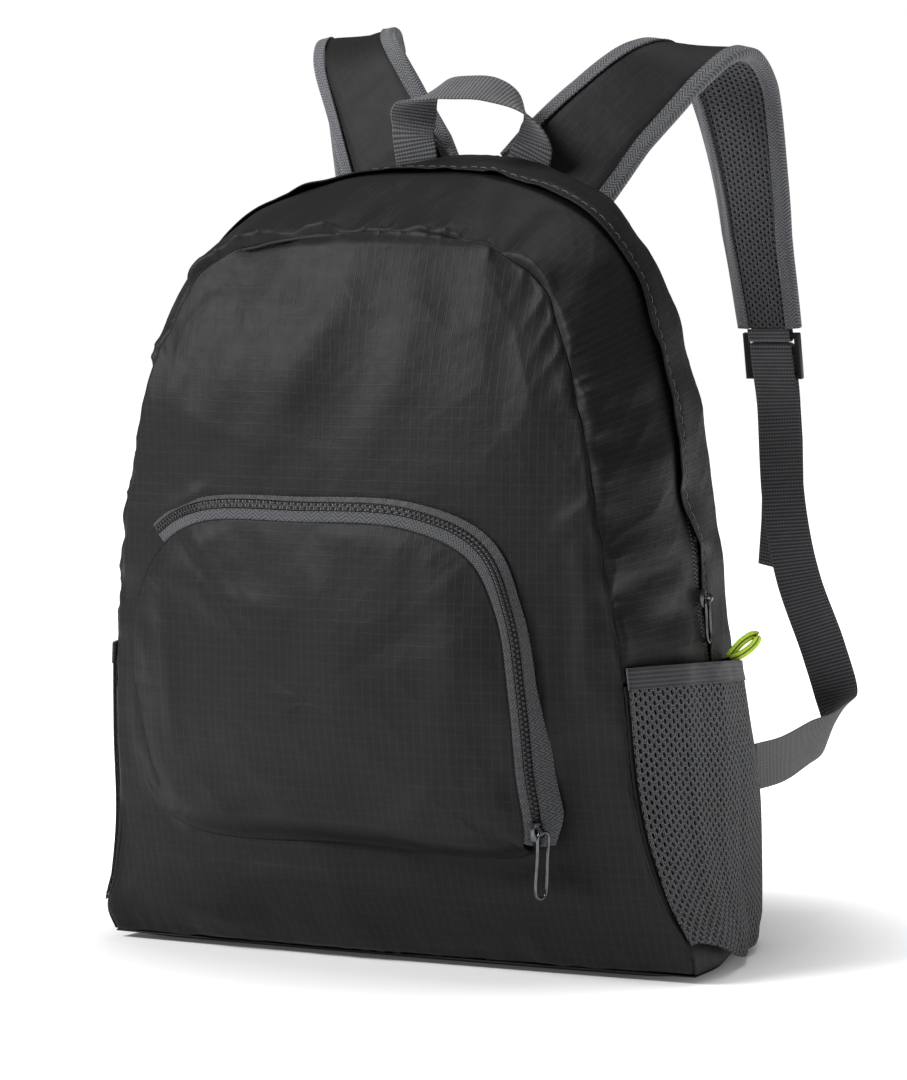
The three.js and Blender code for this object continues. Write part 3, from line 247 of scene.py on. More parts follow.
def leaned(p):
    lean = mix(FRONT_LEAN, BACK_LEAN, ease((p[..., 1] + HALF_DEPTH) / BAG_DEPTH))
    share = np.clip(p[..., 2] / FRONT_HEIGHT, 0, 1)
    rear = ease((p[..., 1] + 45) / 65)
    slide = FOOT_SLIDE * (1 - ease(p[..., 2] / FOOT_SLIDE_HEIGHT)) * (1 - rear)
    slide = slide - WAIST_SLIDE * np.exp(-(((p[..., 2] - 255) / 60) ** 2)) * rear * (1 - ease(p[..., 1] / 60))
    height = np.exp(-(((p[..., 2] - SHOULDER_HEIGHT) / 48) ** 2)) * (1 - ease(p[..., 1] / 110))
    slide = slide + (SHOULDER_SPREAD * np.tanh(p[..., 0] / 60) - SHOULDER_SLIDE) * height
    return stack(p[..., 0] - lean * share**LEAN_POWER + slide, p[..., 1], p[..., 2])


# Noise: smooth random heights between -1 and 1, the same on every run.

def noise(x, y=0.0, seed=0):
    x, y = np.broadcast_arrays(np.asarray(x, float), np.asarray(y, float))
    table = np.random.default_rng(seed).uniform(-1, 1, (64, 64))
    i, j = np.floor(x).astype(int), np.floor(y).astype(int)
    u, v = ease(x - i), ease(y - j)
    i0, i1, j0, j1 = i % 64, (i + 1) % 64, j % 64, (j + 1) % 64
    return mix(mix(table[i0, j0], table[i1, j0], u), mix(table[i0, j1], table[i1, j1], u), v)


def crumple(x, y, seed=0):
    """Sharp little ridges, as thin coated cloth makes: 0 between them and 1 on them."""
    first = 1 - np.abs(noise(x, y, seed))
    second = 1 - np.abs(noise(x * 2.1 + 7, y * 2.1, seed + 1))
    return first**3 * 0.7 + second**3 * 0.3


def fold(x, z, path, width, depth):
    """A fold along a path of (x, z) points: a rounded ridge that fades at its ends."""
    path = np.array(path, float)
    s = lengths(path)
    best = np.full(np.broadcast(x, z).shape, 1e9)
    along = np.zeros_like(best)
    for k in range(len(path) - 1):
        a, b = path[k], path[k + 1]
        d = b - a
        t = np.clip(((x - a[0]) * d[0] + (z - a[1]) * d[1]) / (d @ d), 0, 1)
        away = np.hypot(x - a[0] - t * d[0], z - a[1] - t * d[1])
        near = away < best
        best = np.where(near, away, best)
        along = np.where(near, (s[k] + t * (s[k + 1] - s[k])) / s[-1], along)
    taper = np.sin(np.pi * np.clip(0.08 + 0.84 * along, 0, 1)) ** 0.6
    return depth * taper * np.exp(-((best / width) ** 2))


# The bag's form

class Seam:
    """A seam of the gusset: around runs from -1 at the left of the base over the top at 0 to 1."""

    def __init__(self, rows, height):
        p = np.array([(out * HALF_WIDTH, -fore * HALF_DEPTH, up * height) for up, out, fore in rows])
        self.dense = spline(p, steps=120)
        self.s = lengths(self.dense)
        self.top = p[-1]
        around = np.linspace(TOP_SHARE, 1, 900)
        self.heights = (self.at(around)[:, 2][::-1], around[::-1])

    def at(self, around):
        around = np.asarray(around, float)
        away = np.minimum(1, np.abs(around))
        level = away / TOP_SHARE
        arch = stack(self.top[0] * level, self.top[1], self.top[2] + TOP_ARCH * (1 - level * level))
        down = at_share(self.dense, self.s, 1 - (away - TOP_SHARE) / (1 - TOP_SHARE))
        p = np.where((level < 1)[..., None], arch, down)
        return p * stack(np.where(around < 0, -1.0, 1.0), 1, 1)

    def around_at(self, height):
        return np.interp(height, *self.heights)

    def along(self, around):
        a = np.clip(around, -0.99, 0.99)
        return self.at(a + 0.01) - self.at(a - 0.01)


front_seam = Seam(FRONT_ROWS, FRONT_HEIGHT)
back_seam = Seam(BACK_ROWS, BACK_HEIGHT)


def rib(front_around, back_around, across, lift=0.0):
    """The gusset's middle surface between the two seams, moved out by lift."""
    along = front_seam.along(front_around) + back_seam.along(back_around)
    outward = unit(stack(-along[..., 2], 0, along[..., 0]))
    bulge = GUSSET_BULGE * amount(BULGE_ROWS, np.abs(front_around))
    out = bulge * np.sin(np.pi * np.clip(across, 0, 1)) ** GUSSET_FULLNESS + lift
    base = mix(front_seam.at(front_around), back_seam.at(back_around), np.asarray(across)[..., None])
    return base + outward * np.asarray(out)[..., None]


FRONT_REACH = float(front_seam.around_at(ZIP_END_HEIGHT))
BACK_REACH = float(back_seam.around_at(ZIP_END_HEIGHT))
HALF_ARCH = FRONT_HEIGHT - ZIP_END_HEIGHT + HALF_WIDTH
ARCH_END = 1 - INSET / HALF_ARCH


def arch(share, across, lift=0.0):
    return rib(share * FRONT_REACH, share * BACK_REACH, across, lift)


def side(sign, front_z, back_z, across, lift=0.0):
    return rib(sign * front_seam.around_at(front_z), sign * back_seam.around_at(back_z), across, lift)


def front_point(across, up):
    edge = front_seam.at(1 - up * (1 - TOP_SHARE))
    inner = np.clip(1 - across * across, 0, 1)
    crown = FRONT_CROWN * amount(CROWN_ROWS, up) * inner**FRONT_FULLNESS
    high = edge[..., 2] + TOP_ARCH * inner * up**ARCH_POWER
    return stack(across * edge[..., 0], edge[..., 1] - crown, high)


def front_depth(x, z):
    around = front_seam.around_at(z)
    edge = front_seam.at(around)
    return front_point(np.clip(x / edge[..., 0], -1, 1), (1 - around) / (1 - TOP_SHARE))[..., 1]


def back_point(across, up):
    edge = back_seam.at(1 - up * (1 - TOP_SHARE))
    inner = 1 - across * across
    crown = BACK_CROWN * inner * np.sin(np.pi * up)
    high = edge[..., 2] + TOP_ARCH * inner * up**ARCH_POWER
    return stack(across * edge[..., 0], edge[..., 1] + crown, high)


def zip_across(share, away=0.0):
    return (ZIP_LINE - ZIP_FORWARD * amount(FORWARD_ROWS, np.abs(share)) + away) / BAG_DEPTH


def flap_opening(share):
    return ease((FLAP_OPENING - (1 - share) * HALF_ARCH) / FLAP_EASING)


def flap_start(share):
    clear = (COIL_WIDTH + SLIDER_WIDTH) / 2 + 3 * SEAM_GAP
    return zip_across(share, -mix(FLAP_OVERLAP, -clear, flap_opening(share)))


def flap_lift(share, across):
    rest = ease(4 * flap_opening(share) - 3)
    height = FLAP_LIFT * mix(1, FLAP_REST, rest)
    return height * (1 - ease((across - flap_start(share)) * BAG_DEPTH / FLAP_SLOPE))


# Pocket

pocket_dense = spline(
    [(POCKET_MIDDLE_X + a * POCKET_WIDTH / 2, 0, POCKET_BOTTOM + u * POCKET_HEIGHT) for a, u in POCKET_ROWS],
    closed=True,
)
POCKET_SEAT = CLOTH + SEAM_GAP


def pocket_edge(turn):
    place = (np.asarray(turn, float) % 1) * (len(pocket_dense) - 1)
    return between(pocket_dense, place)


def pocket_stand(x, z):
    across = ease((x - POCKET_MIDDLE_X) / POCKET_WIDTH + 0.5)
    up = np.clip((z - POCKET_BOTTOM) / POCKET_HEIGHT, 0, 1)
    return POCKET_DEPTH * mix(POCKET_LEFT_SHARE, 1, across) * mix(1, POCKET_TOP_SHARE, up)


def pocket_point(turn, r):
    edge = pocket_edge(turn)
    middle = np.array([POCKET_MIDDLE_X, 0, POCKET_BOTTOM + POCKET_MIDDLE_UP * POCKET_HEIGHT])
    r = np.asarray(r, float)
    p = middle + (edge - middle) * r[..., None]
    zipped = amount(HELD_ROWS, (np.asarray(turn) % 1) * len(POCKET_ROWS))
    sewn = 1 - ease((r - 1 + POCKET_HEM) / POCKET_HEM)
    held = mix(sewn, 1, zipped)
    x, z = p[..., 0], p[..., 2]
    y = front_depth(x, z) - POCKET_SEAT - pocket_stand(x, z) * held - POCKET_SWELL * (1 - r * r)
    return stack(x, y, z)


def zip_line(share):
    """Across the pocket's zip: the pocket's edge, the coil and the seam on the front panel."""
    share = np.asarray(share, float)
    turn = share * (ZIP_ROWS - 1) / len(POCKET_ROWS)
    edge = pocket_point(turn, np.ones_like(turn))
    along = unit(pocket_edge(turn + 1e-3) - pocket_edge(turn - 1e-3))
    outward = stack(-along[..., 2], 0, along[..., 0])
    middle = np.array([POCKET_MIDDLE_X, 0, POCKET_BOTTOM + POCKET_HEIGHT / 2])
    flip = np.sum(outward * (edge - middle), -1) < 0
    outward = np.where(flip[..., None], -outward, outward)

    def on_panel(away, stand):
        p = edge + outward * away[..., None]
        return stack(p[..., 0], front_depth(p[..., 0], p[..., 2]) - POCKET_SEAT - stand, p[..., 2])

    reach = TAPE_WIDTH * amount(REACH_ROWS, share)
    stitch = TAPE_WIDTH * amount(STITCH_ROWS, share)
    stand = pocket_stand(edge[..., 0], edge[..., 2]) * amount(STAND_ROWS, share)
    return edge, on_panel(reach, stand), on_panel(reach + stitch, 0 * stand)


def side_pocket_point(sign, u, height, gape_rows=GAPE_ROWS):
    share = height / SIDE_POCKET_HEIGHT
    rest = CLOTH / 2 + SEAM_GAP + BAND / 2
    gape = SIDE_POCKET_GAPE * np.clip(np.sin(np.pi * u), 0, 1) ** GUSSET_FULLNESS * amount(gape_rows, share)
    inset = INSET / BAG_DEPTH
    return side(sign, height, height - SIDE_POCKET_DROP * share, inset + u * (1 - 2 * inset), rest + gape)


# Stations of straps and webbing: places p, directions w across and n out, and half widths.

class Run:
    def __init__(self, p, w, n, half=None):
        self.p, self.w, self.n = (np.asarray(a, float) for a in (p, w, n))
        self.half = np.zeros(len(self.p)) if half is None else np.asarray(half, float)

    def placed(self, sign=1):
        flip = np.array([sign, 1, 1])
        return Run(leaned(self.p * flip), self.w * flip, self.n * flip, self.half)


def frames(p, along, hint, half=None):
    w = unit(hint - along * np.sum(hint * along, -1, keepdims=True))
    return Run(p, w, unit(np.cross(w, along)), half)


def run_through(places, hints, count, halves=None):
    p, h = spline(places), spline(hints)
    s = lengths(p)
    share = np.linspace(0, 1, count)
    place = np.interp(share * s[-1], s, np.arange(len(p)))
    half = None
    if halves is not None:
        half = np.interp(place / (len(p) - 1) * (len(halves) - 1), np.arange(len(halves)), halves)
    points = between(p, place)
    return frames(points, unit(np.gradient(points, axis=0)), between(h, place), half)


def seam_at_width(x):
    around = np.linspace(0, 0.5, 2000)
    return back_seam.at(np.interp(x, back_seam.at(around)[:, 0], around))


def turned_round(run):
    return Run(run.p[::-1], run.w[::-1], run.n[::-1], run.half[::-1])


def longer(run, extra):
    """The run with its first end carried on straight by that much."""
    along = unit(run.p[0] - run.p[3])
    steps = np.linspace(extra, 0, 8, endpoint=False)[:, None]
    join = lambda a, first: np.concatenate([first, a])
    again = lambda a: np.repeat(a[:1], len(steps), axis=0)
    return Run(join(run.p, run.p[0] + along * steps), join(run.w, again(run.w)), join(run.n, again(run.n)),
               join(run.half, again(run.half)))


def strap_run(sign, count=110):
    seam = seam_at_width(STRAP_OFFSET)
    rise = LEFT_STRAP_RISE if sign < 0 else STRAP_RISE
    seat = LEFT_STRAP_SEAT if sign < 0 else STRAP_SEAT
    places = [
        (STRAP_OFFSET + out * STRAP_SPREAD, seam[1] + seat + STRAP_COVER + BINDING + back * STRAP_REACH,
         seam[2] + INSET + up * rise)
        for out, back, up, *_ in STRAP_ROWS
    ]
    halves = [row[3] * STRAP_HALF_WIDTH for row in STRAP_ROWS]
    return run_through(places, [row[4:] for row in STRAP_ROWS], count, halves)


TOP_BAR_LOW = LOCK_HEIGHT / 2 - LOCK_BAR
MIDDLE_BAR_HIGH = TOP_BAR_LOW - LOCK_SLOT
TURN_RADIUS = LOCK_THICKNESS / 2 + LAYER_GAP + WEBBING / 2


class Lock:
    """The ladder lock's own frame: w across it, up along the strap and n away from the bag."""

    def __init__(self, sign):
        run = strap_run(sign, 19)
        self.up = unit(run.p[-2] - run.p[-1])
        self.w = run.w[-1]
        self.n = unit(np.cross(self.up, self.w))
        if self.n[1] < 0:
            self.n = -self.n
        self.origin = run.p[-1] - self.up * LOCK_DROP

    def place(self, across, high, out):
        return self.origin + self.w * across + self.up * high + self.n * out

    def turn(self, bar_edge, sign, reach=TURN_REACH):
        rows = []
        for angle in np.linspace(0, math.pi, 17):
            high = bar_edge + sign * TURN_RADIUS * reach * math.sin(angle)
            rows.append(self.place(0, high, TURN_RADIUS * math.cos(angle)))
        return rows


def lower_run(sign):
    lock = Lock(sign)
    seam = back_seam.at(back_seam.around_at(ANCHOR_HEIGHT))
    anchor = seam + np.array([0, INSET, 0])
    below = lock.place(0, -LOCK_HEIGHT, -TURN_RADIUS)
    low = [
        (anchor[0] + out * WEBBING_SPREAD, anchor[1] + back * WEBBING_REACH, mix(below[2], anchor[2], down))
        for down, back, out, *_ in LOWER_ROWS
    ]
    places = [lock.place(0, high, -TURN_RADIUS) for high in (MIDDLE_BAR_HIGH, -LOCK_HEIGHT / 2)] + [below]
    hints = [lock.w] * 3 + [row[3:] for row in LOWER_ROWS] + [(0, 0, 1)]
    run = run_through(places + low + [anchor], hints, 150)
    tail = []
    for share in TAIL_SHARES[::-1]:
        bent = share * share
        high = MIDDLE_BAR_HIGH - share * TAIL_LENGTH
        tail.append(lock.place(-TAIL_STRAY * bent, high, TURN_RADIUS + TAIL_SAG * bent))
    head = np.array(tail + lock.turn(MIDDLE_BAR_HIGH, 1, WEBBING_TURN_REACH)[:-1])
    along = unit(np.gradient(head, axis=0))
    top = frames(head, along, np.tile(lock.w, (len(head), 1)))
    p, w, n = (np.vstack([a, b]) for a, b in ((top.p, run.p), (top.w, run.w), (top.n, run.n)))
    for k in range(1, len(p)):
        if w[k] @ w[k - 1] < 0:
            w[k] = -w[k]
        if n[k] @ n[k - 1] < 0:
            n[k] = -n[k]
    return Run(p, w, n)


# Materials

def colour(hex_code):
    """An sRGB hex colour as Blender's linear red, green, blue and alpha."""
    parts = [int(hex_code[k : k + 2], 16) / 255 for k in (1, 3, 5)]
    return tuple(c / 12.92 if c <= 0.04045 else ((c + 0.055) / 1.055) ** 2.4 for c in parts) + (1,)


def node(tree, kind, inputs=(), **settings):
    """Adds a shader node with its settings, its plain values and its links."""
    made = tree.nodes.new("ShaderNode" + kind)
    for key, value in settings.items():
        setattr(made, key, value)
    for key, value in dict(inputs).items():
        if isinstance(value, bpy.types.NodeSocket):
            tree.links.new(value, made.inputs[key])
        else:
            made.inputs[key].default_value = value
    return made


def new_material(name):
    material = bpy.data.materials.new(name)
    material.use_nodes = True
    tree = material.node_tree
    return material, tree, tree.nodes["Principled BSDF"]


def set_all(shader, **values):
    for key, value in values.items():
        shader.inputs[key.replace("_", " ")].default_value = value


def lines(tree, coordinate, pitch, width):
    """1 on lines that repeat at a pitch, 0 between them, softened over their width."""
    wave = node(tree, "Math", {0: coordinate, 1: pitch / 2}, operation="PINGPONG")
    return node(tree, "MapRange", {0: wave.outputs[0], 1: 0.0, 2: width, 3: 1.0, 4: 0.0}).outputs[0]


def combine(tree, operation, *values):
    return node(tree, "Math", dict(enumerate(values)), operation=operation).outputs[0]


def tint(tree, shader, low, high, share):
    """The base colour, from low to high by a share."""
    mixed = node(tree, "Mix", {"Factor": share, 6: colour(low), 7: colour(high)}, data_type="RGBA")
    tree.links.new(mixed.outputs[2], shader.inputs["Base Color"])


def rough(tree, shader, share, low, high):
    spread = node(tree, "MapRange", {0: share, 1: 0.0, 2: 1.0, 3: low, 4: high})
    tree.links.new(spread.outputs[0], shader.inputs["Roughness"])


def raise_by(tree, shader, height, millimetres):
    bump = node(tree, "Bump", {"Height": height, "Distance": millimetres * MM, "Strength": 1.0})
    tree.links.new(bump.outputs[0], shader.inputs["Normal"])


def surface_places(tree):
    """The cloth's own place in millimetres, along its width and its length."""
    uv = node(tree, "UVMap", uv_map="cloth").outputs[0]
    split = node(tree, "SeparateXYZ", {0: uv})
    return uv, split.outputs[0], split.outputs[1]


def speckle(tree, vector, size, detail=2.0):
    return node(tree, "TexNoise", {"Vector": vector, "Scale": 1 / size, "Detail": detail}).outputs[0]


def ripstop(name, low, high, roughness):
    """Coated nylon ripstop: heavier threads in squares of about 5 mm, seen as fine lighter lines, over a
    satin black ground that catches light on every crease. The ground's 0.3 mm weave is drawn at 1.1 mm."""
    material, tree, shader = new_material(name)
    uv, x, y = surface_places(tree)
    squares = combine(tree, "MAXIMUM", combine(tree, "MULTIPLY", lines(tree, x, 4.6, 0.5), 0.9),
                      combine(tree, "MULTIPLY", lines(tree, y, 5.4, 0.5), 0.65))
    weave = combine(tree, "MULTIPLY", lines(tree, x, 1.1, 0.55), lines(tree, y, 1.1, 0.55))
    patches = speckle(tree, uv, 38.0)
    crush = speckle(tree, uv, 7.0, 4.0)
    share = combine(tree, "MULTIPLY_ADD", squares, 0.48, combine(tree, "MULTIPLY", patches, 0.3))
    tint(tree, shader, low, high, share)
    rough(tree, shader, crush, roughness - 0.05, roughness + 0.05)
    height = combine(tree, "MULTIPLY_ADD", squares, 0.18, combine(tree, "MULTIPLY", weave, 0.12))
    raise_by(tree, shader, combine(tree, "MULTIPLY_ADD", crush, 1.2, height), 0.3)
    set_all(shader, IOR=1.53, Specular_IOR_Level=0.18)
    return material


def webbing_weave(name, low, high, pitch):
    """Woven nylon webbing: rounded cross ribs with a chain of warp threads along it, dull and a little
    furry at its edges."""
    material, tree, shader = new_material(name)
    uv, x, y = surface_places(tree)
    ribs = lines(tree, y, pitch, pitch / 2)
    warp = lines(tree, x, pitch * 0.8, pitch * 0.4)
    wear = speckle(tree, uv, 9.0, 3.0)
    rib_weave_and_groove_shade = combine(tree, "MULTIPLY", combine(tree, "POWER", ribs, 1.5),
                    combine(tree, "MULTIPLY_ADD", warp, 0.6, 0.45))
    cover = combine(tree, "MULTIPLY_ADD", rib_weave_and_groove_shade, 0.8, combine(tree, "MULTIPLY", wear, 0.2))
    # The colour runs from low in the grooves to high on the ribs. That is the weave's own pattern, with painted
    # shade in the grooves and painted light on the rib crests; wear adds random tone.
    tint(tree, shader, low, high, cover)
    rough(tree, shader, wear, 0.75, 0.95)
    height = combine(tree, "MULTIPLY_ADD", ribs, 0.7, combine(tree, "MULTIPLY", warp, 0.4))
    raise_by(tree, shader, height, 0.45)
    set_all(shader, IOR=1.53, Specular_IOR_Level=0.3, Sheen_Weight=0.25, Sheen_Roughness=0.5)
    return material


def twill(name, low, high, pitch):
    """Polyester twill tape: slanting ribs that turn over in rows, a herringbone, mottled grey."""
    material, tree, shader = new_material(name)
    uv, x, y = surface_places(tree)
    zigzag = combine(tree, "PINGPONG", x, 2.6)
    slant = lines(tree, combine(tree, "ADD", y, zigzag), pitch, pitch / 2)
    mottle = speckle(tree, uv, 2.4, 3.0)
    share = combine(tree, "MULTIPLY_ADD", slant, 0.75, combine(tree, "MULTIPLY", mottle, 0.35))
    # The colour follows the slanting ribs. That is the twill's own pattern, with painted shade in the grooves
    # and painted light on the ribs; mottle adds random tone.
    tint(tree, shader, low, high, share)
    rough(tree, shader, mottle, 0.7, 0.95)
    raise_by(tree, shader, slant, 0.5)
    set_all(shader, IOR=1.55, Specular_IOR_Level=0.3, Sheen_Weight=0.2, Sheen_Roughness=0.5)
    return material


def knit(name, low, high):
    """Knitted polyester air mesh: fine loops on every strand, matt and slightly furry."""
    material, tree, shader = new_material(name)
    uv, x, y = surface_places(tree)
    loops = combine(tree, "MULTIPLY", lines(tree, x, 0.9, 0.45), lines(tree, y, 0.9, 0.45))
    fuzz = speckle(tree, uv, 1.6, 3.0)
    share = combine(tree, "MULTIPLY_ADD", loops, 0.5, combine(tree, "MULTIPLY", fuzz, 0.5))
    tint(tree, shader, low, high, share)
    rough(tree, shader, fuzz, 0.8, 1.0)
    raise_by(tree, shader, loops, 0.25)
    set_all(shader, IOR=1.55, Specular_IOR_Level=0.25, Sheen_Weight=0.25, Sheen_Roughness=0.5)
    return material


def elastic(name, low, high):
    """Knitted elastic band: soft cords along its length under a matt knit."""
    material, tree, shader = new_material(name)
    uv, x, y = surface_places(tree)
    cords = lines(tree, y, 2.2, 1.0)
    stitches = lines(tree, combine(tree, "MULTIPLY_ADD", cords, 0.6, x), 1.2, 0.6)
    share = combine(tree, "MULTIPLY_ADD", cords, 0.7, combine(tree, "MULTIPLY", stitches, 0.3))
    # The colour follows the cords. That is the knit's own pattern, with painted shade in the grooves between the
    # cords and painted light on them.
    tint(tree, shader, low, high, share)
    rough(tree, shader, stitches, 0.75, 0.95)
    height = combine(tree, "MULTIPLY_ADD", cords, 1.0, combine(tree, "MULTIPLY", stitches, 0.4))
    raise_by(tree, shader, height, 0.4)
    set_all(shader, IOR=1.55, Specular_IOR_Level=0.25, Sheen_Weight=0.2, Sheen_Roughness=0.5)
    return material


def moulded(name, low, high, roughness):
    """Moulded acetal or nylon: an even satin skin with a faint grain from the tool."""
    material, tree, shader = new_material(name)
    place = node(tree, "TexCoord").outputs["Object"]
    grain = speckle(tree, place, 1.2 * MM, 3.0)
    tint(tree, shader, low, high, grain)
    rough(tree, shader, grain, roughness - 0.08, roughness + 0.08)
    raise_by(tree, shader, grain, 0.06)
    set_all(shader, IOR=1.48, Specular_IOR_Level=0.5)
    return material


def plated(name, low, high):
    """Zinc with a gunmetal plating: grey and mirror-like, with hazy wear where hands rub it."""
    material, tree, shader = new_material(name)
    place = node(tree, "TexCoord").outputs["Object"]
    haze = speckle(tree, place, 3.0 * MM, 4.0)
    tint(tree, shader, low, high, haze)
    rough(tree, shader, haze, 0.14, 0.3)
    raise_by(tree, shader, haze, 0.05)
    set_all(shader, Metallic=1.0)
    return material


def ribbon_stripe(name, ground, edge, stripe):
    """Woven polyester ribbon in a fluorescent yellow green, with a thin dark line along its middle."""
    material, tree, shader = new_material(name)
    uv, x, y = surface_places(tree)
    ribs = lines(tree, y, 0.8, 0.4)
    tint(tree, shader, edge, ground, ribs)
    middle = combine(tree, "LESS_THAN", combine(tree, "ABSOLUTE", x), 0.45)
    base = shader.inputs["Base Color"].links[0].from_socket
    striped = node(tree, "Mix", {"Factor": middle, 6: base, 7: colour(stripe)}, data_type="RGBA")
    tree.links.new(striped.outputs[2], shader.inputs["Base Color"])
    rough(tree, shader, ribs, 0.6, 0.8)
    raise_by(tree, shader, ribs, 0.15)
    set_all(shader, IOR=1.55, Sheen_Weight=0.2)
    return material


def thread_shade(name, low, high):
    """Bonded polyester sewing thread: twisted strands with a soft shine."""
    material, tree, shader = new_material(name)
    place = node(tree, "TexCoord").outputs["Object"]
    twist = speckle(tree, place, 0.8 * MM)
    tint(tree, shader, low, high, twist)
    rough(tree, shader, twist, 0.5, 0.7)
    set_all(shader, IOR=1.55, Sheen_Weight=0.2)
    return material


RIPSTOP = ripstop("black_ripstop_nylon", "#09090a", "#212122", 0.55)
STRAP_RIPSTOP = ripstop("black_strap_nylon", "#101011", "#202021", 0.6)
# The low colours of the webbing and twill tapes are painted shade in the grooves between their ribs.
HANDLE_WEAVE = webbing_weave("grey_handle_webbing", "#0a0a0b", "#7c7d82", 2.1)
STRAP_WEAVE = webbing_weave("dark_grey_strap_webbing", "#111112", "#6a6b6f", 2.0)
TWILL = twill("grey_twill_binding", "#0f1011", "#727378", 1.9)
ZIP_TAPE = twill("grey_zip_tape", "#1b1c1e", "#535458", 1.8)
DARK_TAPE = twill("black_zip_tape", "#121213", "#29292b", 1.3)
AIR_MESH = knit("grey_air_mesh", "#2b2c2e", "#5a5b5f")
# The elastic's low colour is painted shade between its cords.
ELASTIC = elastic("grey_elastic_band", "#0e0e10", "#404145")
COIL_NYLON = moulded("black_coil_nylon", "#050506", "#101012", 0.4)
ACETAL = moulded("black_acetal", "#111112", "#1f1f21", 0.4)
FOAM = moulded("black_foam", "#0e0e0f", "#1a1a1b", 0.9)
GUNMETAL = plated("gunmetal_plating", "#343537", "#68696c")
LIME = ribbon_stripe("lime_ribbon", "#d2ef2c", "#a3c81a", "#3f4a12")
DARK_THREAD = thread_shade("black_thread", "#141415", "#2c2c2e")
# The flap's topstitch is black thread. Its lighter grey is painted highlight, so that the stitches show on the
# black cloth.
FLAP_THREAD = thread_shade("black_thread_painted_highlight", "#3c3d3f", "#5c5d60")
WHITE_THREAD = thread_shade("white_thread", "#c9c9c6", "#efefec")


# Pieces

def dress(piece, material, nodes=(), slot=None, body="bag"):
    piece.data.materials.clear()
    piece.data.materials.append(material)
    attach(piece, body)
    if nodes:
        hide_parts(*nodes)
    return piece


def link(name, bm):
    mesh = bpy.data.meshes.new(name)
    bm.to_mesh(mesh)
    bm.free()
    mesh.shade_smooth()
    piece = bpy.data.objects.new(name, mesh)
    bpy.context.scene.collection.objects.link(piece)
    return piece


def coordinates(mesh):
    co = np.empty(len(mesh.vertices) * 3)
    mesh.vertices.foreach_get("co", co)
    return co.reshape(-1, 3)


def set_coordinates(mesh, co):
    mesh.vertices.foreach_set("co", np.ascontiguousarray(co, float).ravel())
    mesh.update()


def set_uv(mesh, places):
    """The cloth's own map, in millimetres."""
    layer = mesh.uv_layers.get("cloth") or mesh.uv_layers.new(name="cloth")
    corners = np.empty(len(mesh.loops), int)
    mesh.loops.foreach_get("vertex_index", corners)
    layer.data.foreach_set("uv", np.ascontiguousarray(places[corners], float).ravel())


def new_grid(name, columns, rows):
    bm = bmesh.new()
    bmesh.ops.create_grid(bm, x_segments=columns, y_segments=rows, size=0.5)
    return link(name, bm)


def sheet_normal(sheet, u, v):
    h = 1e-3
    across = sheet(np.minimum(u + h, 1), v) - sheet(np.maximum(u - h, 0), v)
    along = sheet(u, np.minimum(v + h, 1)) - sheet(u, np.maximum(v - h, 0))
    return unit(np.cross(across, along))


def merge(mesh, distance=0.02, fill=False):
    """Closes seams and poles, fills open ends, and turns faces outwards."""
    bm = bmesh.new()
    bm.from_mesh(mesh)
    bmesh.ops.remove_doubles(bm, verts=bm.verts, dist=distance * MM)
    if fill:
        bmesh.ops.holes_fill(bm, edges=[e for e in bm.edges if e.is_boundary], sides=0)
        bmesh.ops.recalc_face_normals(bm, faces=bm.faces)
    bm.to_mesh(mesh)
    bm.free()
    mesh.shade_smooth()


def crowd(t):
    """Places from 0 to 1 that stand closer together near both ends, where the seams are."""
    return mix(t, (1 - np.cos(np.pi * t)) / 2, 0.65)


def cloth(name, sheet, columns, rows, material, nodes, relief=None, flat=None, shift=None,
          thickness=SEEN_CLOTH, slot="black_ripstop", held="stretched", rests_on=("base_cloth",), closed=False,
          outward=None, soft=True, crowded=(False, False)):
    """A sheet of cloth: sheet(u, v) is its middle surface, relief(u, v, p) moves it along its normal,
    and flat(u, v, p) gives the cloth's own places in millimetres."""
    piece = new_grid(name, columns, rows)
    mesh = piece.data
    start = coordinates(mesh)
    u, v = (crowd(t) if tight else t for t, tight in zip((start[:, :2] + 0.5).T, crowded))
    p = sheet(u, v)
    n = sheet_normal(sheet, u, v)
    away = (p - CENTRE) if outward is None else np.asarray(outward, float)
    turned = np.sum(np.sum(n * away, -1)) < 0
    if turned:
        n = -n
    rows_of = p[np.lexsort((u, v))].reshape(rows + 1, columns + 1, 3)
    width = np.linalg.norm(np.diff(rows_of, axis=1), axis=-1).sum(1)
    length = np.linalg.norm(np.diff(rows_of, axis=0), axis=-1).sum(0)
    own = [u * width.mean(), v * length.mean()]
    places = np.stack(own if flat is None else flat(u, v, p), -1)
    if relief is not None:
        raised = relief(u, v, p)
        p = p + n * raised[:, None] + (0 if shift is None else shift(u, v, p))
    set_coordinates(mesh, leaned(p) * MM)
    set_uv(mesh, places)
    if turned:
        mesh.flip_normals()
    if closed:
        merge(mesh)
    wall = piece.modifiers.new("wall", "SOLIDIFY")
    wall.thickness, wall.offset = thickness * MM, 0
    dress(piece, material, nodes, slot)
    return piece


def tube(name, run, section, material, nodes=(), slot=None, body="bag", closed=False, around=None):
    """A section swept along a run: section(turn, k) gives across and out for turns from 0 to 1 at a row."""
    rows = len(run.p) - (0 if closed else 1)
    around = around or 16
    piece = new_grid(name, around, rows)
    mesh = piece.data
    start = coordinates(mesh)
    turn = start[:, 0] + 0.5
    k = np.rint((start[:, 1] + 0.5) * rows).astype(int) % len(run.p)
    across, out = section(turn, k)
    p = run.p[k] + run.w[k] * across[:, None] + run.n[k] * out[:, None]
    s = lengths(run.p)
    set_coordinates(mesh, p * MM)
    set_uv(mesh, np.stack([across, s[k]], -1))
    merge(mesh, 0.01, fill=True)
    return dress(piece, material, nodes, slot, body)


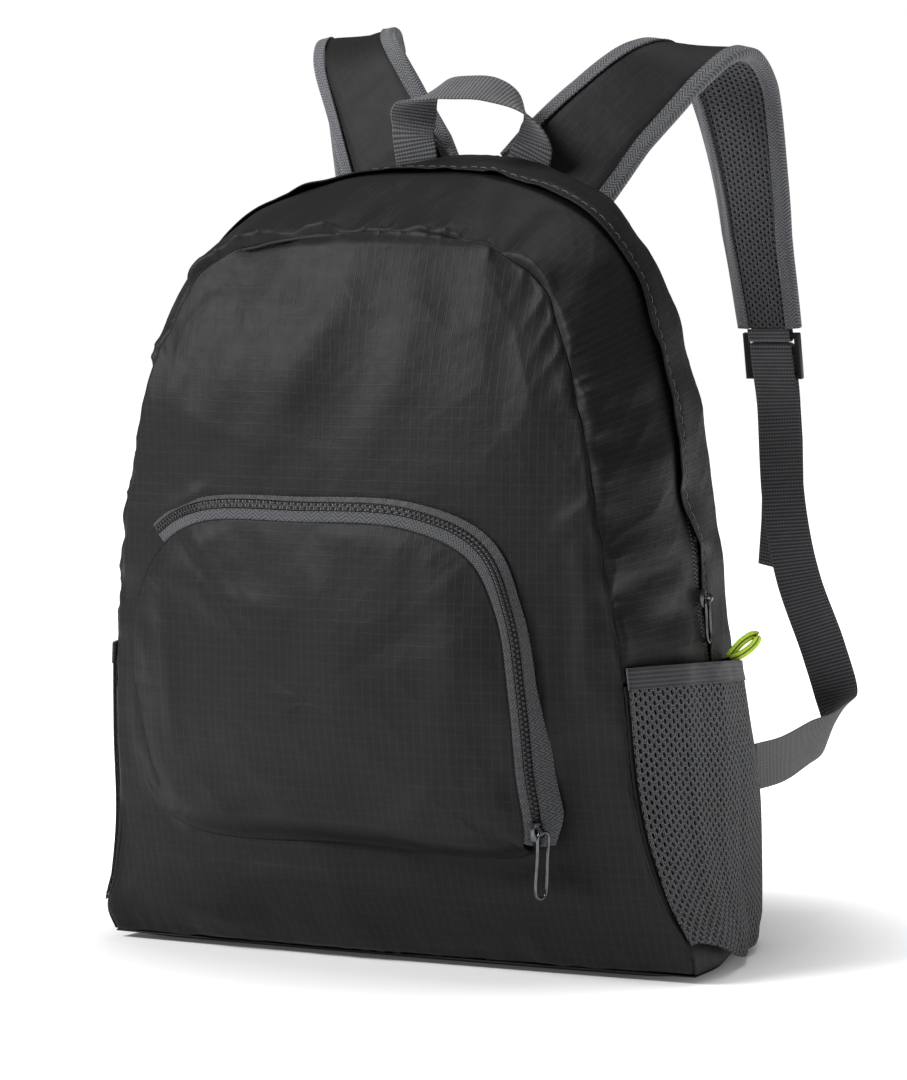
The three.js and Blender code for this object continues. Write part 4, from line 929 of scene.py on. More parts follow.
def band_section(half, thickness, swell=0.0):
    """A flat band's section with rounded edges, and swelled faces if asked: half may be one per row."""
    def section(turn, k):
        angle = turn * 2 * np.pi
        wide = half if np.isscalar(half) else half[k]
        c, s = np.cos(angle), np.sin(angle)
        across = (wide - thickness / 2) * np.sign(c) * np.abs(c) ** 0.35 + thickness / 2 * c
        plump = 1 + swell * (1 - np.clip(np.abs(across) / wide, 0, 1) ** 2)
        return across, np.sign(s) * np.abs(s) ** 0.5 * thickness / 2 * plump
    return section


def round_section(radius):
    def section(turn, k):
        angle = turn * 2 * np.pi
        return radius * np.cos(angle), radius * np.sin(angle)
    return section


def sewn(name, p, n, material, pitch=3.2, radius=0.28, high=0.3, body="bag"):
    """A row of stitches: one thread along p that rises out of the cloth and sinks under it again."""
    s = lengths(p)
    count = max(2, int(round(s[-1] / pitch)))
    rows = count * 6
    share = np.linspace(0, 1, rows + 1)
    points = at_share(p, s, share)
    normals = unit(at_share(n, s, share))
    wave = np.clip(1.7 * np.cos(share * count * 2 * np.pi) + 0.25, -1, 1)
    points = points + normals * ((high + radius) * wave - radius * 0.6)[:, None]
    along = unit(np.gradient(points, axis=0))
    run = frames(points, along, np.cross(normals, along))
    return tube(name, run, round_section(radius), material, around=5, body=body)


# Wrinkles

def puckers(s, d, seed, fine=1.0, broad=1.0, reach=1.0):
    """Gathers that run away from a seam: s along it and d away from it."""
    near = (1 - np.abs(noise(s / 9, d / 50, seed))) ** 2 * 2.2 * np.exp(-d / (8 * reach)) * fine
    middle = noise(s / 17 + 9, d / 60, seed + 1) * np.exp(-d / (26 * reach)) * (fine + broad) / 2
    far = noise(s / 36 + 4, d / 90, seed + 2) * np.exp(-d / (60 * reach)) * broad
    return 0.8 * near + 1.5 * middle + 2.4 * far


def nearest(*distances):
    """The least of the distances, rounded off where two of them are alike."""
    return sum(np.maximum(d, 0.01) ** -3.0 for d in distances) ** (-1 / 3)


def seam_place(p):
    """How far round the front seam a place lies, in millimetres from its top."""
    return np.arctan2(p[..., 0], p[..., 2] - 110) * 190


def seam_shift(p, d):
    """How the gathered front seam wanders in and out, fading with the distance d from it."""
    s = seam_place(p)
    inward = unit(stack(-p[..., 0], 0, 150 - p[..., 2]))
    wander = 0.9 * noise(s / 6.5, 0.5, 400) + 1.3 * noise(s / 15, 0.5, 401)
    wander = wander * (0.35 + 0.65 * ease((p[..., 2] - 120) / 150))
    return inward * (wander * np.exp(-((d / 8) ** 2)))[..., None]


def seam_crack(p, d):
    """The valley at the gathered seam: deep and dark in some places and pulled shut in others."""
    depth = 1.2 + 1.1 * noise(seam_place(p) / 8, 0.5, 410)
    return -depth * np.exp(-((d / 1.3) ** 2))


def slack(x, y, seed, large=2.0, small=0.6, ridges=0.5):
    """The soft hills and sharp little ridges of thin cloth over soft filling."""
    a, b = 0.82 * x + 0.57 * y, 0.82 * y - 0.57 * x
    c, d = 0.34 * x - 0.94 * y, 0.34 * y + 0.94 * x
    hills = large * noise(a / 74 + 5, b / 58, seed) + small * noise(c / 31, d / 24 + 3, seed + 3)
    bent = a + 14 * noise(c / 50, d / 60, seed + 5)
    return hills + ridges * crumple(bent / 33, b / 52, seed + 7)


FRONT_FOLDS = [
    ([(-126, 129), (-125, 106), (-120, 85), (-105, 68)], 6, 3.2),
    ([(-137, 150), (-134, 116), (-128, 84)], 7, 2.2),
    ([(-105, 68), (-72, 61), (-18, 57), (30, 58)], 5, 2.0),
    ([(-112, 49), (-70, 42), (-20, 45), (14, 36)], 8, 2.2),
    ([(104, 172), (106, 139), (104, 108), (96, 84)], 7, 2.8),
    ([(118, 214), (124, 184), (122, 150)], 6, 2.4),
    ([(123, 276), (130, 246), (133, 221), (138, 192)], 5, 2.6),
    ([(136, 260), (124, 240), (108, 228)], 5, 1.8),
    ([(-119, 229), (-108, 234), (-95, 241)], 4, 1.6),
    ([(-58, 362), (-76, 330), (-92, 296), (-104, 262)], 14, 1.9),
    ([(-22, 366), (-34, 330), (-50, 292), (-70, 256)], 15, 1.9),
    ([(14, 366), (16, 330), (8, 296), (-6, 262)], 13, 1.5),
    ([(46, 358), (58, 322), (62, 288)], 12, 1.6),
    ([(76, 334), (84, 306), (84, 276)], 11, 1.4),
    ([(-98, 340), (-112, 312), (-122, 280)], 10, 1.6),
    ([(60, 30), (96, 42), (132, 38)], 9, 2.4),
    ([(-140, 30), (-110, 24), (-70, 20)], 9, 2.2),
]


def front_relief(u, v, p):
    x, z = p[:, 0], p[:, 2]
    q = leaned(p)
    edge = front_seam.at(1 - v * (1 - TOP_SHARE))
    aside = (1 - np.abs(2 * u - 1)) * edge[:, 0]
    over = (1 - v) * FRONT_HEIGHT * 1.05
    under = v * FRONT_HEIGHT
    d = nearest(aside, over, under)
    s = np.arctan2(x, z - 110) * 190
    high = ease((z - 215) / 110)
    gathers = puckers(s, nearest(aside, over), 11, 2.0, 1.2, 1.1) * high
    seams = puckers(z, aside, 21, 0.8, 0.8, 0.8) * (1 - high)
    foot = puckers(x, under, 31, 0.7, 0.8, 0.7) * (1 - high)
    total = gathers + seams + foot + slack(q[:, 0], q[:, 2], 41, 2.0, 0.7, 0.8)
    for path, width, depth in FRONT_FOLDS:
        total = total + fold(q[:, 0], q[:, 2], path, width, depth)
    held = 1 - np.exp(-((d / 2.2) ** 2))
    return total * held + seam_crack(p, d)


def front_shift(u, v, p):
    edge = front_seam.at(1 - v * (1 - TOP_SHARE))
    aside = (1 - np.abs(2 * u - 1)) * edge[:, 0]
    return seam_shift(p, nearest(aside, (1 - v) * FRONT_HEIGHT * 1.05))


POCKET_FOLDS = [
    ([(-110, 205), (-78, 186), (-40, 180)], 9, 1.8),
    ([(-118, 190), (-112, 150), (-108, 110)], 7, 1.6),
    ([(-30, 212), (-6, 176), (4, 136)], 12, 1.6),
    ([(52, 208), (60, 170), (58, 128)], 12, 1.6),
    ([(-96, 78), (-52, 92), (-8, 88)], 9, 2.0),
    ([(20, 74), (52, 92), (86, 88)], 9, 1.8),
    ([(-84, 120), (-40, 130), (8, 122)], 13, 1.4),
]


def pocket_relief(u, v, p):
    q = leaned(p)
    inner = (1 - v) * 90
    s = u * 720
    sewn_part = amount(HELD_ROWS, (u % 1) * len(POCKET_ROWS))
    gathers = puckers(s, inner, 51, 1.0, 0.9, 0.7) * (0.7 + 0.3 * (1 - sewn_part))
    wrap = np.minimum(1, np.minimum(u, 1 - u) * 40)
    total = gathers * wrap + slack(q[:, 0], q[:, 2], 61, 1.3, 0.6, 0.8)
    for path, width, depth in POCKET_FOLDS:
        total = total + fold(q[:, 0], q[:, 2], path, width, depth)
    return total * (1 - np.exp(-((inner / 6) ** 2))) * np.clip(v * 8, 0, 1) ** 0.5


def plane_places(u, v, p):
    return p[:, 0], p[:, 2]


def make_panels():
    span, rise = 2 * (1 - SEEN_INSET / HALF_WIDTH), 1 - 2 * SEEN_INSET / FRONT_HEIGHT
    low = SEEN_INSET / FRONT_HEIGHT
    cloth("front_panel_cloth", lambda u, v: front_point((u - 0.5) * span, low + v * rise), 195, 225, RIPSTOP,
          ["front_panel"], front_relief, plane_places, front_shift, crowded=(True, True))

    def back_relief(u, v, p):
        edge = back_seam.at(1 - v * (1 - TOP_SHARE))
        aside = (1 - np.abs(2 * u - 1)) * edge[:, 0]
        d = np.minimum(np.minimum(aside, (1 - v) * BACK_HEIGHT), v * BACK_HEIGHT)
        total = puckers(p[:, 2] + p[:, 0], d, 71, 0.6, 0.7, 0.7) + slack(p[:, 0], p[:, 2], 81, 1.6, 0.5, 0.7)
        return total * (1 - np.exp(-((d / 6) ** 2))) - 1.2 * np.exp(-((d / 2.2) ** 2))

    cloth("back_panel_cloth", lambda u, v: back_point((0.5 - u) * span, low + v * rise), 120, 150, RIPSTOP,
          ["back_panel"], back_relief, plane_places)

    def base_sheet(u, v):
        across = 2 * u - 1
        outer = rib(np.ones_like(u), np.ones_like(u), v)
        front, back = front_point(across, np.zeros_like(u)), back_point(across, np.zeros_like(u))
        rim = np.maximum(np.abs(across), np.abs(2 * v - 1))
        turned = ease((rim - 1 + BASE_RIM) / BASE_RIM)
        rise = front_seam.at(1.0)[2] - CLOTH / 2
        return stack(across * outer[:, 0], mix(front[:, 1], back[:, 1], v), CLOTH / 2 + rise * turned)

    cloth("base_cloth", base_sheet, 110, 60, RIPSTOP, ["base_panel"], None,
          lambda u, v, p: (p[:, 0], p[:, 1]), held="laid", outward=(0, 0, -1))


def arch_share(u):
    return (2 * u - 1) * ARCH_END


def gusset_relief(along, across, d, seed, front_side):
    """Puckers at the seam and creases across the gusset where the arch bends."""
    gathers = puckers(along, d, seed, 1.8, 1.2, 0.8)
    creases = 1.5 * noise(along / 15, across / 55 + front_side, seed + 9)
    return gathers + creases + slack(along, across, seed + 20, 1.5, 0.6, 0.9)


def make_gussets():
    depth_inset = SEEN_INSET / BAG_DEPTH

    def front_sheet(u, v):
        share = arch_share(u)
        return arch(share, mix(depth_inset, zip_across(share, -INSET), v))

    def front_places(u, v, p):
        return arch_share(u) * HALF_ARCH, v * ZIP_LINE

    def front_side_relief(u, v, p):
        along, across = front_places(u, v, p)
        d, back = v * ZIP_LINE, (1 - v) * ZIP_LINE
        total = gusset_relief(along, across, d, 101, 0)
        hold = (1 - np.exp(-((d / 3) ** 2))) * (1 - np.exp(-((back / 14) ** 2)))
        end = np.minimum(1, np.minimum(u, 1 - u) * 60)
        return total * hold * end + seam_crack(p, d)

    cloth("front_gusset_cloth", front_sheet, 520, 70, RIPSTOP, ["front_gusset"], front_side_relief,
          front_places, lambda u, v, p: seam_shift(p, v * ZIP_LINE), crowded=(False, True))

    def rear_sheet(u, v):
        share = arch_share(u)
        across = mix(flap_start(share), 1 - depth_inset, v)
        return arch(share, across, flap_lift(share, across))

    def rear_places(u, v, p):
        return arch_share(u) * HALF_ARCH, v * 62

    def rear_relief(u, v, p):
        along, across = rear_places(u, v, p)
        d, front = (1 - v) * 62, v * 62
        total = puckers(along, d, 131, 0.7, 0.7, 0.6) + 1.0 * noise(along / 19, across / 45, 140)
        total = total + slack(along, across, 150, 1.2, 0.5, 0.8)
        hold = (1 - np.exp(-((d / 5) ** 2))) * (1 - np.exp(-((front / 9) ** 2)))
        hem = 0.7 * np.exp(-(((front - 1.0) / 1.4) ** 2)) - 0.5 * np.exp(-(((front - 7.0) / 0.9) ** 2))
        waves = 1.5 * noise(along / 14, 0.3, 145) * np.exp(-front / 9)
        end = np.minimum(1, np.minimum(u, 1 - u) * 60)
        return total * hold * end + hem + np.maximum(waves, -0.2) - 1.0 * np.exp(-((d / 2.2) ** 2))

    def rear_shift(u, v, p):
        return stack(0, 1.6 * noise(u * 38, 0.7, 146) * np.exp(-v * 62 / 5), 0)

    cloth("rear_gusset_cloth", rear_sheet, 520, 50, RIPSTOP, ["rear_gusset"], rear_relief, rear_places,
          rear_shift, crowded=(False, True))

    u = np.linspace(0.004, 0.996, 1400)
    v = np.full_like(u, 7.0 / 62)
    p, n = rear_sheet(u, v), sheet_normal(rear_sheet, u, v)
    n = n * np.sign(np.sum(n * (p - CENTRE), -1, keepdims=True))
    p = p + n * (rear_relief(u, v, p) + CLOTH / 2)[:, None]
    sewn("flap_edge_stitches", leaned(p), n, FLAP_THREAD, 6.5, 0.24, 0.1)

    seam_low = max(front_seam.at(1.0)[2], back_seam.at(1.0)[2]) + INSET
    for name, sign in SIDES:
        def side_sheet(u, v):
            height = mix(seam_low, ZIP_END_HEIGHT - INSET, v)
            return side(sign, height, height, depth_inset + u * (1 - 2 * depth_inset))

        def side_relief(u, v, p):
            d = np.minimum(np.minimum(u, 1 - u) * BAG_DEPTH, np.minimum(v, 1 - v) * ZIP_END_HEIGHT)
            total = slack(p[:, 1], p[:, 2], 160 + sign, 1.0, 0.4, 0.5)
            return total * (1 - np.exp(-((d / 8) ** 2))) * 0.4

        cloth(f"{name}_side_cloth", side_sheet, 60, 60, RIPSTOP, [f"{name}_side_panel"], side_relief,
              lambda u, v, p: (p[:, 1], p[:, 2]))


def make_seams():
    """The turned allowances that close the two seams of the gusset, just under the cloth."""
    around = np.linspace(-0.995, 0.995, 900)
    for name, seam in (("front_seam_welt", front_seam), ("back_seam_welt", back_seam)):
        p = seam.at(around)
        along = unit(np.gradient(p, axis=0))
        inward = unit(stack(0 * around, 0, 190) - p)
        wander = seam_shift(p, 0 * around) if seam is front_seam else 0
        run = frames(leaned(p + wander + inward * WELT_SINK), along, inward)
        tube(name, run, round_section(WELT_RADIUS), RIPSTOP, around=10, slot="black_ripstop")


def coil_relief(length, sink=0.0):
    """Teeth that lock from both sides along the middle of a zip's coil. With a sink, the whole coil lies
    that much lower near its slider, which leaves room for the pull when it swings up."""
    def relief(u, v, p):
        half = np.where(v < 0.5, 0, 0.5)
        teeth = np.cos((u * length / TEETH_PITCH + half) * 2 * np.pi)
        rows = np.abs(np.sin(2 * np.pi * v)) ** 0.7
        lower = sink * ease((u - COIL_SINK_FROM) / COIL_SINK_EASING)
        return rows * (0.5 + 0.4 * teeth) - COIL_SEAT - lower
    return relief


def make_main_zip():
    lift = -(CLOTH / 2 + SEAM_GAP + TAPE / 2)
    away = COIL_WIDTH / 2 + SEAM_GAP
    coil_lift = lift + TAPE / 2 + LAYER_GAP + COIL_HEIGHT / 2

    def tape_sheet(u, v):
        share = arch_share(u)
        return arch(share, zip_across(share, away + (2 * v - 1) * (TAPE_WIDTH + COIL_WIDTH / 2)), lift)

    cloth("main_zip_tape_cloth", tape_sheet, 240, 8, DARK_TAPE, ["main_zip_tape"], thickness=TAPE,
          slot="black_nylon", rests_on=("front_gusset_cloth",))

    def coil_sheet(u, v):
        share = arch_share(u)
        return arch(share, zip_across(share, away + (v - 0.5) * COIL_WIDTH), coil_lift - 0.4)

    cloth("main_zip_coil_teeth", coil_sheet, 2200, 10, COIL_NYLON, ["main_zip_coil"],
          coil_relief(2 * HALF_ARCH), thickness=0.7, slot="black_nylon", soft=False)


def make_pocket():
    def face(u, v):
        return pocket_point(u, v)

    cloth("pocket_cloth", face, 360, 76, RIPSTOP, ["pocket_face"], pocket_relief, plane_places, closed=True,
          outward=(0, -1, 0), rests_on=("front_panel_cloth",))

    def inner(u, v):
        edge, coil, stitch = zip_line(u)
        span = np.linalg.norm(coil - edge, axis=-1)
        low, high = -1.5 / span, 1 - (COIL_WIDTH / 2 + LAYER_GAP) / span
        return edge + (coil - edge) * mix(low, high, v)[:, None]

    def outer(u, v):
        edge, coil, stitch = zip_line(u)
        low = (COIL_WIDTH / 2 + LAYER_GAP) / np.linalg.norm(stitch - coil, axis=-1)
        return coil + (stitch - coil) * mix(low, 1, v)[:, None]

    def coil(u, v):
        edge, middle, stitch = zip_line(u)
        across = unit(stitch - edge)
        return middle + across * ((v - 0.5) * COIL_WIDTH)[:, None]

    options = dict(outward=(0, -1, 0), rests_on=("pocket_cloth",))

    def tucked(u, v, p):
        return -1.3 * (1 - ease(v / 0.4))

    cloth("pocket_zip_tape_inner_cloth", inner, 300, 10, ZIP_TAPE, ["pocket_zip_tape_inner"], tucked,
          thickness=TAPE, slot="grey_tape", **options)
    cloth("pocket_zip_tape_outer_cloth", outer, 300, 8, ZIP_TAPE, ["pocket_zip_tape_outer"], thickness=TAPE,
          slot="grey_tape", **options)
    cloth("pocket_zip_coil_teeth", coil, 1200, 12, COIL_NYLON, ["pocket_zip_coil"],
          coil_relief(COIL_LENGTH, COIL_SINK), thickness=0.7, slot="black_nylon", outward=(0, -1, 0),
          soft=False)


def net(name, sheet, width, length, cell, bar, material, thickness, nodes, relief=None, stretch=1.0,
        **options):
    """Air mesh: staggered rows of oval holes, laid out flat in cells and moved on to its sheet."""
    bm = bmesh.new()
    outer = bmesh.ops.create_circle(bm, segments=12, radius=1)["verts"]
    ring = bmesh.ops.create_circle(bm, segments=12, radius=0.5)["verts"]
    for vert in outer:
        angle = math.atan2(vert.co.y, vert.co.x)
        sector = (angle + math.pi / 6) % (math.pi / 3) - math.pi / 6
        reach = cell / 2 / math.cos(sector)
        vert.co = (reach * math.cos(angle), reach * math.sin(angle), 0)
    for vert in ring:
        vert.co = vert.co * (cell - bar)
    bmesh.ops.bridge_loops(bm, edges=bm.edges[:])
    rise = cell * math.sqrt(3) / 2
    columns, rows = int(width / rise) + 1, int(length / cell / stretch) + 1
    column = bm.verts[:] + bm.edges[:] + bm.faces[:]

    def repeat(geom, shift):
        copy = bmesh.ops.duplicate(bm, geom=geom)["geom"]
        bmesh.ops.translate(bm, verts=[g for g in copy if isinstance(g, bmesh.types.BMVert)], vec=shift)

    for k in range(1, rows + 1):
        repeat(column, (0, k * cell, 0))
    whole = bm.verts[:] + bm.edges[:] + bm.faces[:]
    for k in range(1, columns + 1):
        repeat(whole, (k * rise, -(k % 2) * cell / 2, 0))
    bmesh.ops.remove_doubles(bm, verts=bm.verts, dist=0.02)
    piece = link(name, bm)
    mesh = piece.data
    flat = coordinates(mesh)[:, :2] * (1, stretch)
    u, v = np.clip(flat[:, 0] / width, 0, 1), np.clip(flat[:, 1] / length, 0, 1)
    p, n = sheet(u, v), sheet_normal(sheet, u, v)
    sign = 1 if options.get("outward") is not None else np.sign(np.sum(n * (p - CENTRE)))
    if relief is not None:
        p = p + sign * n * relief(u, v, p)[:, None]
    placed = p if options.get("placed") else leaned(p)
    set_coordinates(mesh, placed * MM)
    set_uv(mesh, flat)
    merge(mesh, 0.15)
    wall = piece.modifiers.new("wall", "SOLIDIFY")
    wall.thickness, wall.offset = thickness * MM, 0
    return dress(piece, material, nodes, options.get("slot", "grey_mesh"))


def make_side_pockets():
    mesh_top = SIDE_POCKET_HEIGHT - BAND_HEIGHT - SEAM_GAP
    band_low = SIDE_POCKET_HEIGHT - BAND_HEIGHT
    for name, sign in SIDES:
        def netting(u, v):
            foot = NET_FOOT + NET_CORNER * (1 - ease(u / 0.5)) + NET_REAR_CORNER * ease((u - 0.72) / 0.28)
            return side_pocket_point(sign, u, mix(foot, mesh_top + NET_TUCK, v), NET_GAPE_ROWS[name])

        def hem(u, v):
            return side_pocket_point(sign, u, mix(band_low, SIDE_POCKET_HEIGHT, v))

        def ruffle(u, v, p):
            hold = np.sin(np.pi * u) ** 0.5
            waves = 1.2 * noise(p[:, 1] / 22, p[:, 2] / 50, 200 + sign)
            return (waves + 0.5 * noise(p[:, 1] / 9, v * 2, 205)) * hold

        width, length = BAG_DEPTH + 14, mesh_top - SIDE_POCKET_FOOT
        piece = net(f"{name}_pocket_netting", netting, width, length, NET_CELL, NET_BAR, AIR_MESH, 0.7,
                    [f"{name}_side_pocket_mesh"], ruffle, NET_STRETCH)
        cloth(f"{name}_pocket_band_elastic", hem, 130, 10, ELASTIC, [f"{name}_side_pocket_band"], ruffle,
              lambda u, v, p: (u * BAG_DEPTH, v * BAND_HEIGHT), thickness=1.8, slot="grey_tape",
              rests_on=(f"{name}_side_cloth",))


def make_handle():
    leg = seam_at_width(HANDLE_HALF_SPAN)
    foot = leg[2] + CLOTH + SEAM_GAP + WEBBING / 2
    places, hints = [], []
    for sign, rows in ((1, HANDLE_RIGHT_ROWS), (-1, HANDLE_ROWS[-2::-1])):
        for out, fore, up, wx, wy, wz in rows:
            aside = sign * out * HANDLE_HALF_SPAN
            places.append((aside, leg[1] - fore * HANDLE_TIP, foot + HANDLE_RISE * up))
            hints.append((sign * wx, wy, wz))
    run = run_through(places, hints, 150).placed()
    run = turned_round(longer(turned_round(longer(run, HANDLE_HEEL)), HANDLE_HEEL))
    tube("handle_webbing", run, band_section(WEBBING_WIDTH / 2, WEBBING), HANDLE_WEAVE, ["grab_handle"],
         "grey_webbing", around=28)


def make_straps():
    high = LAYER_GAP / 2 + STRAP_COVER
    low = -(LAYER_GAP / 2 + STRAP_LINING)
    for name, sign in SIDES:
        run = strap_run(sign, 130).placed(sign)
        s = lengths(run.p)
        if sign < 0:
            behind = ease((s / s[-1] - 0.33) / 0.2) * (1 - ease((s / s[-1] - 0.75) / 0.25))
            bend = np.sin(np.pi * s / s[-1]) * LEFT_STRAP_SWAY - behind * LEFT_STRAP_TUCK
            run.p = run.p + np.outer(bend, (1, 0, 0))
        run = longer(run, STRAP_HEEL)
        s = lengths(run.p)
        wrinkle = noise(s / 9, 0.2, 301 + sign)

        def pad(turn, k):
            angle = turn * 2 * np.pi
            wide = run.half[k] - BINDING - 0.3
            c, t = np.cos(angle), np.sin(angle)
            across = wide * np.sign(c) * np.abs(c) ** 0.5
            edge = np.clip(np.abs(across) / wide, 0, 1)
            plump = 1 + 0.35 * (1 - edge**4) - 0.25 * np.exp(-(((edge - 0.78) / 0.05) ** 2)) - 0.45 * edge**8
            top = STRAP_COVER * plump + 0.5 * wrinkle[k] * (1 - edge**2)
            return across, np.where(t >= 0, np.abs(t) ** 0.3 * top, 0.0) + 0.1

        cover = tube(f"{name}_strap_pad", run, pad, STRAP_RIPSTOP, [f"{name}_strap_cover"], "black_ripstop",
                     around=48)

        def lining(u, v):
            place = v * (len(run.p) - 1)
            half = np.interp(place, np.arange(len(run.p)), run.half) - BINDING
            edge = 1 - np.abs(2 * u - 1) ** 6
            across = between(run.w, place) * ((2 * u - 1) * half)[:, None]
            return between(run.p, place) + across + between(run.n, place) * (low * edge + 0.6)[:, None]

        piece = net(f"{name}_strap_netting", lining, 52.0, s[-1], 3.6, 1.4, AIR_MESH, 0.7,
                    [f"{name}_strap_lining"], placed=True, outward=True)

        def foam(turn, k):
            angle = turn * 2 * np.pi
            wide = run.half[k] - BINDING - 0.5
            c, t = np.cos(angle), np.sin(angle)
            across = wide * np.sign(c) * np.abs(c) ** 0.5
            return across, np.where(t < 0, -np.abs(t) ** 0.3 * (STRAP_LINING - 0.9), 0.0)

        tube(f"{name}_strap_foam", run, foam, FOAM, around=24)

        for place, edge_sign in (("inner", -1), ("outer", 1)):
            def binding(turn, k):
                """A folded tape: out along one face, round the strap's edge and back along the other."""
                wide = run.half[k]
                lap = BINDING_LAP
                t = np.where(turn < 0.5, turn * 2, 2 - turn * 2)
                skin = np.where(turn < 0.5, BINDING, 0.0)
                thick = (high - low) * RIM_SHARE + 2 * LAYER_GAP
                bend = np.pi * thick / 4
                walk = t * (2 * lap + bend)
                rim = wide - thick * 0.3 - BINDING
                face = np.where(walk < lap, 1, np.where(walk > lap + bend, -1, 0))
                angle = np.clip((walk - lap) / bend, 0, 1) * np.pi
                across = np.where(face == 0, rim + (thick * 0.3 + skin) * np.sin(angle),
                                  rim - np.where(face > 0, lap - walk, walk - lap - bend))
                middle = (high + low) / 2
                inboard = np.clip((rim - across) / lap, 0, 1) * (face != 0)
                reach = thick / 2 + skin + inboard * (high - low) * (1 - RIM_SHARE) / 2
                return edge_sign * across, middle + np.cos(angle) * reach

            piece = tube(f"{name}_strap_edge_{place}", run, binding, TWILL, [f"{name}_strap_binding_{place}"],
                         "grey_tape", around=48)
            side_p = run.p + run.w * (edge_sign * (run.half - BINDING_LAP - 2.2))[:, None]
            face_p = side_p + run.n * (high + LAYER_GAP + BINDING - 0.45)
            sewn(f"{name}_strap_stitches_{place}", face_p, run.n, DARK_THREAD, 3.0, 0.25, 0.25)

        make_lock(name, sign)


def copied(name, cad_node, bevel, material, slot, body="bag"):
    """A moulded or cast part: its CAD form with its flat faces whole again and its edges rounded."""
    bm = bmesh.new()
    bm.from_mesh(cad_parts[cad_node].data)
    bmesh.ops.remove_doubles(bm, verts=bm.verts, dist=1e-6)
    bmesh.ops.dissolve_limit(bm, angle_limit=math.radians(2), verts=bm.verts, edges=bm.edges)
    sharp = [e for e in bm.edges if len(e.link_faces) == 2 and e.calc_face_angle() > math.radians(35)]
    bmesh.ops.bevel(bm, geom=sharp, offset=bevel * MM, segments=2, profile=0.5, affect="EDGES", material=-1,
                    clamp_overlap=True)
    bmesh.ops.recalc_face_normals(bm, faces=bm.faces)
    return dress(link(name, bm), material, [cad_node], slot, body)


def make_lock(name, sign):
    copied(f"{name}_lock_moulding", f"{name}_ladder_lock", 0.5, ACETAL, "black_nylon")
    lock = Lock(sign)
    top = LOCK_DROP - SEAM_GAP
    path = [lock.place(0, top, TURN_RADIUS)] + lock.turn(TOP_BAR_LOW, -1) + [lock.place(0, top, -TURN_RADIUS)]
    path = spline(path, steps=4)
    run = frames(path, unit(np.gradient(path, axis=0)), np.tile(lock.w, (len(path), 1))).placed(sign)
    tube(f"{name}_loop_webbing", run, band_section(WEBBING_WIDTH / 2, WEBBING), STRAP_WEAVE,
         [f"{name}_lock_loop"], "grey_webbing", around=24)
    flip = np.array([sign, 1, 1])
    for k, height in enumerate((top - 2.5, top - 5.0)):
        across = np.linspace(-WEBBING_WIDTH / 2 + 1.5, WEBBING_WIDTH / 2 - 1.5, 60)
        p = np.array([lock.place(a, height, TURN_RADIUS + WEBBING / 2) for a in across])
        n = np.tile(lock.n * flip, (len(p), 1))
        thread = WHITE_THREAD if k == 0 else DARK_THREAD
        sewn(f"{name}_loop_tack_{k}", leaned(p * flip), n, thread, 1.6, 0.3, 0.3)
    run = lower_run(sign).placed(sign)
    s = lengths(run.p)
    fine = int(s[-1] / 2.2)
    share = np.linspace(0, 1, fine)
    pick = lambda a: at_share(a, s, share)
    run = Run(pick(run.p), unit(pick(run.w)), unit(pick(run.n)))
    tube(f"{name}_adjusting_webbing", run, band_section(WEBBING_WIDTH / 2, WEBBING), STRAP_WEAVE,
         [f"{name}_strap_webbing"], "grey_webbing", around=24)


# Sliders and pulls

PLATE_HIGH = COIL_HEIGHT / 2 + LAYER_GAP + SLIDER_PLATE
PIVOT_HEIGHT = PLATE_HIGH + BRIDGE_HOLE - BRIDGE_SINK


def slider_frame(p, along, across):
    """The place and the x, y, z directions of a slider on its coil, as its CAD has them."""
    station = frames(p[None], along[None], across[None]).placed()
    place, w, n = station.p[0], station.w[0], station.n[0]
    if n @ (place - np.array([0, 0, FRONT_HEIGHT / 2])) < 0:
        n = -n
    down = unit(np.cross(n, w))
    if down[2] > 0:
        down = -down
    return place, np.cross(down, n), down, n


def make_pull(name, place, x, y, z, length, body):
    half, corner = PULL_WIDTH / 2, PULL_WIDTH / 2 * PULL_CORNER
    slant, end = PULL_WIDTH / 2 * math.sqrt(0.5), length - WIRE / 2 - PULL_WIDTH / 2
    corners = [
        (-half + corner, 0), (half - corner, 0), (half, corner), (half, length / 3), (half, end),
        (slant, end + slant), (0, end + half), (-slant, end + slant), (-half, end), (-half, length / 3),
        (-half, corner),
    ]
    loop = spline([(a, b, PIVOT_HEIGHT) for a, b in corners], closed=True, steps=16)[:-1]
    p = place + loop[:, :1] * x + loop[:, 1:2] * y + loop[:, 2:] * z
    along = unit(np.roll(p, -1, axis=0) - np.roll(p, 1, axis=0))
    run = frames(p, along, np.tile(z, (len(p), 1)))
    tube(f"{name}_pull_wire", run, round_section(WIRE / 2), GUNMETAL, [f"{name}_pull"], "gun_metal", body,
         closed=True, around=14)


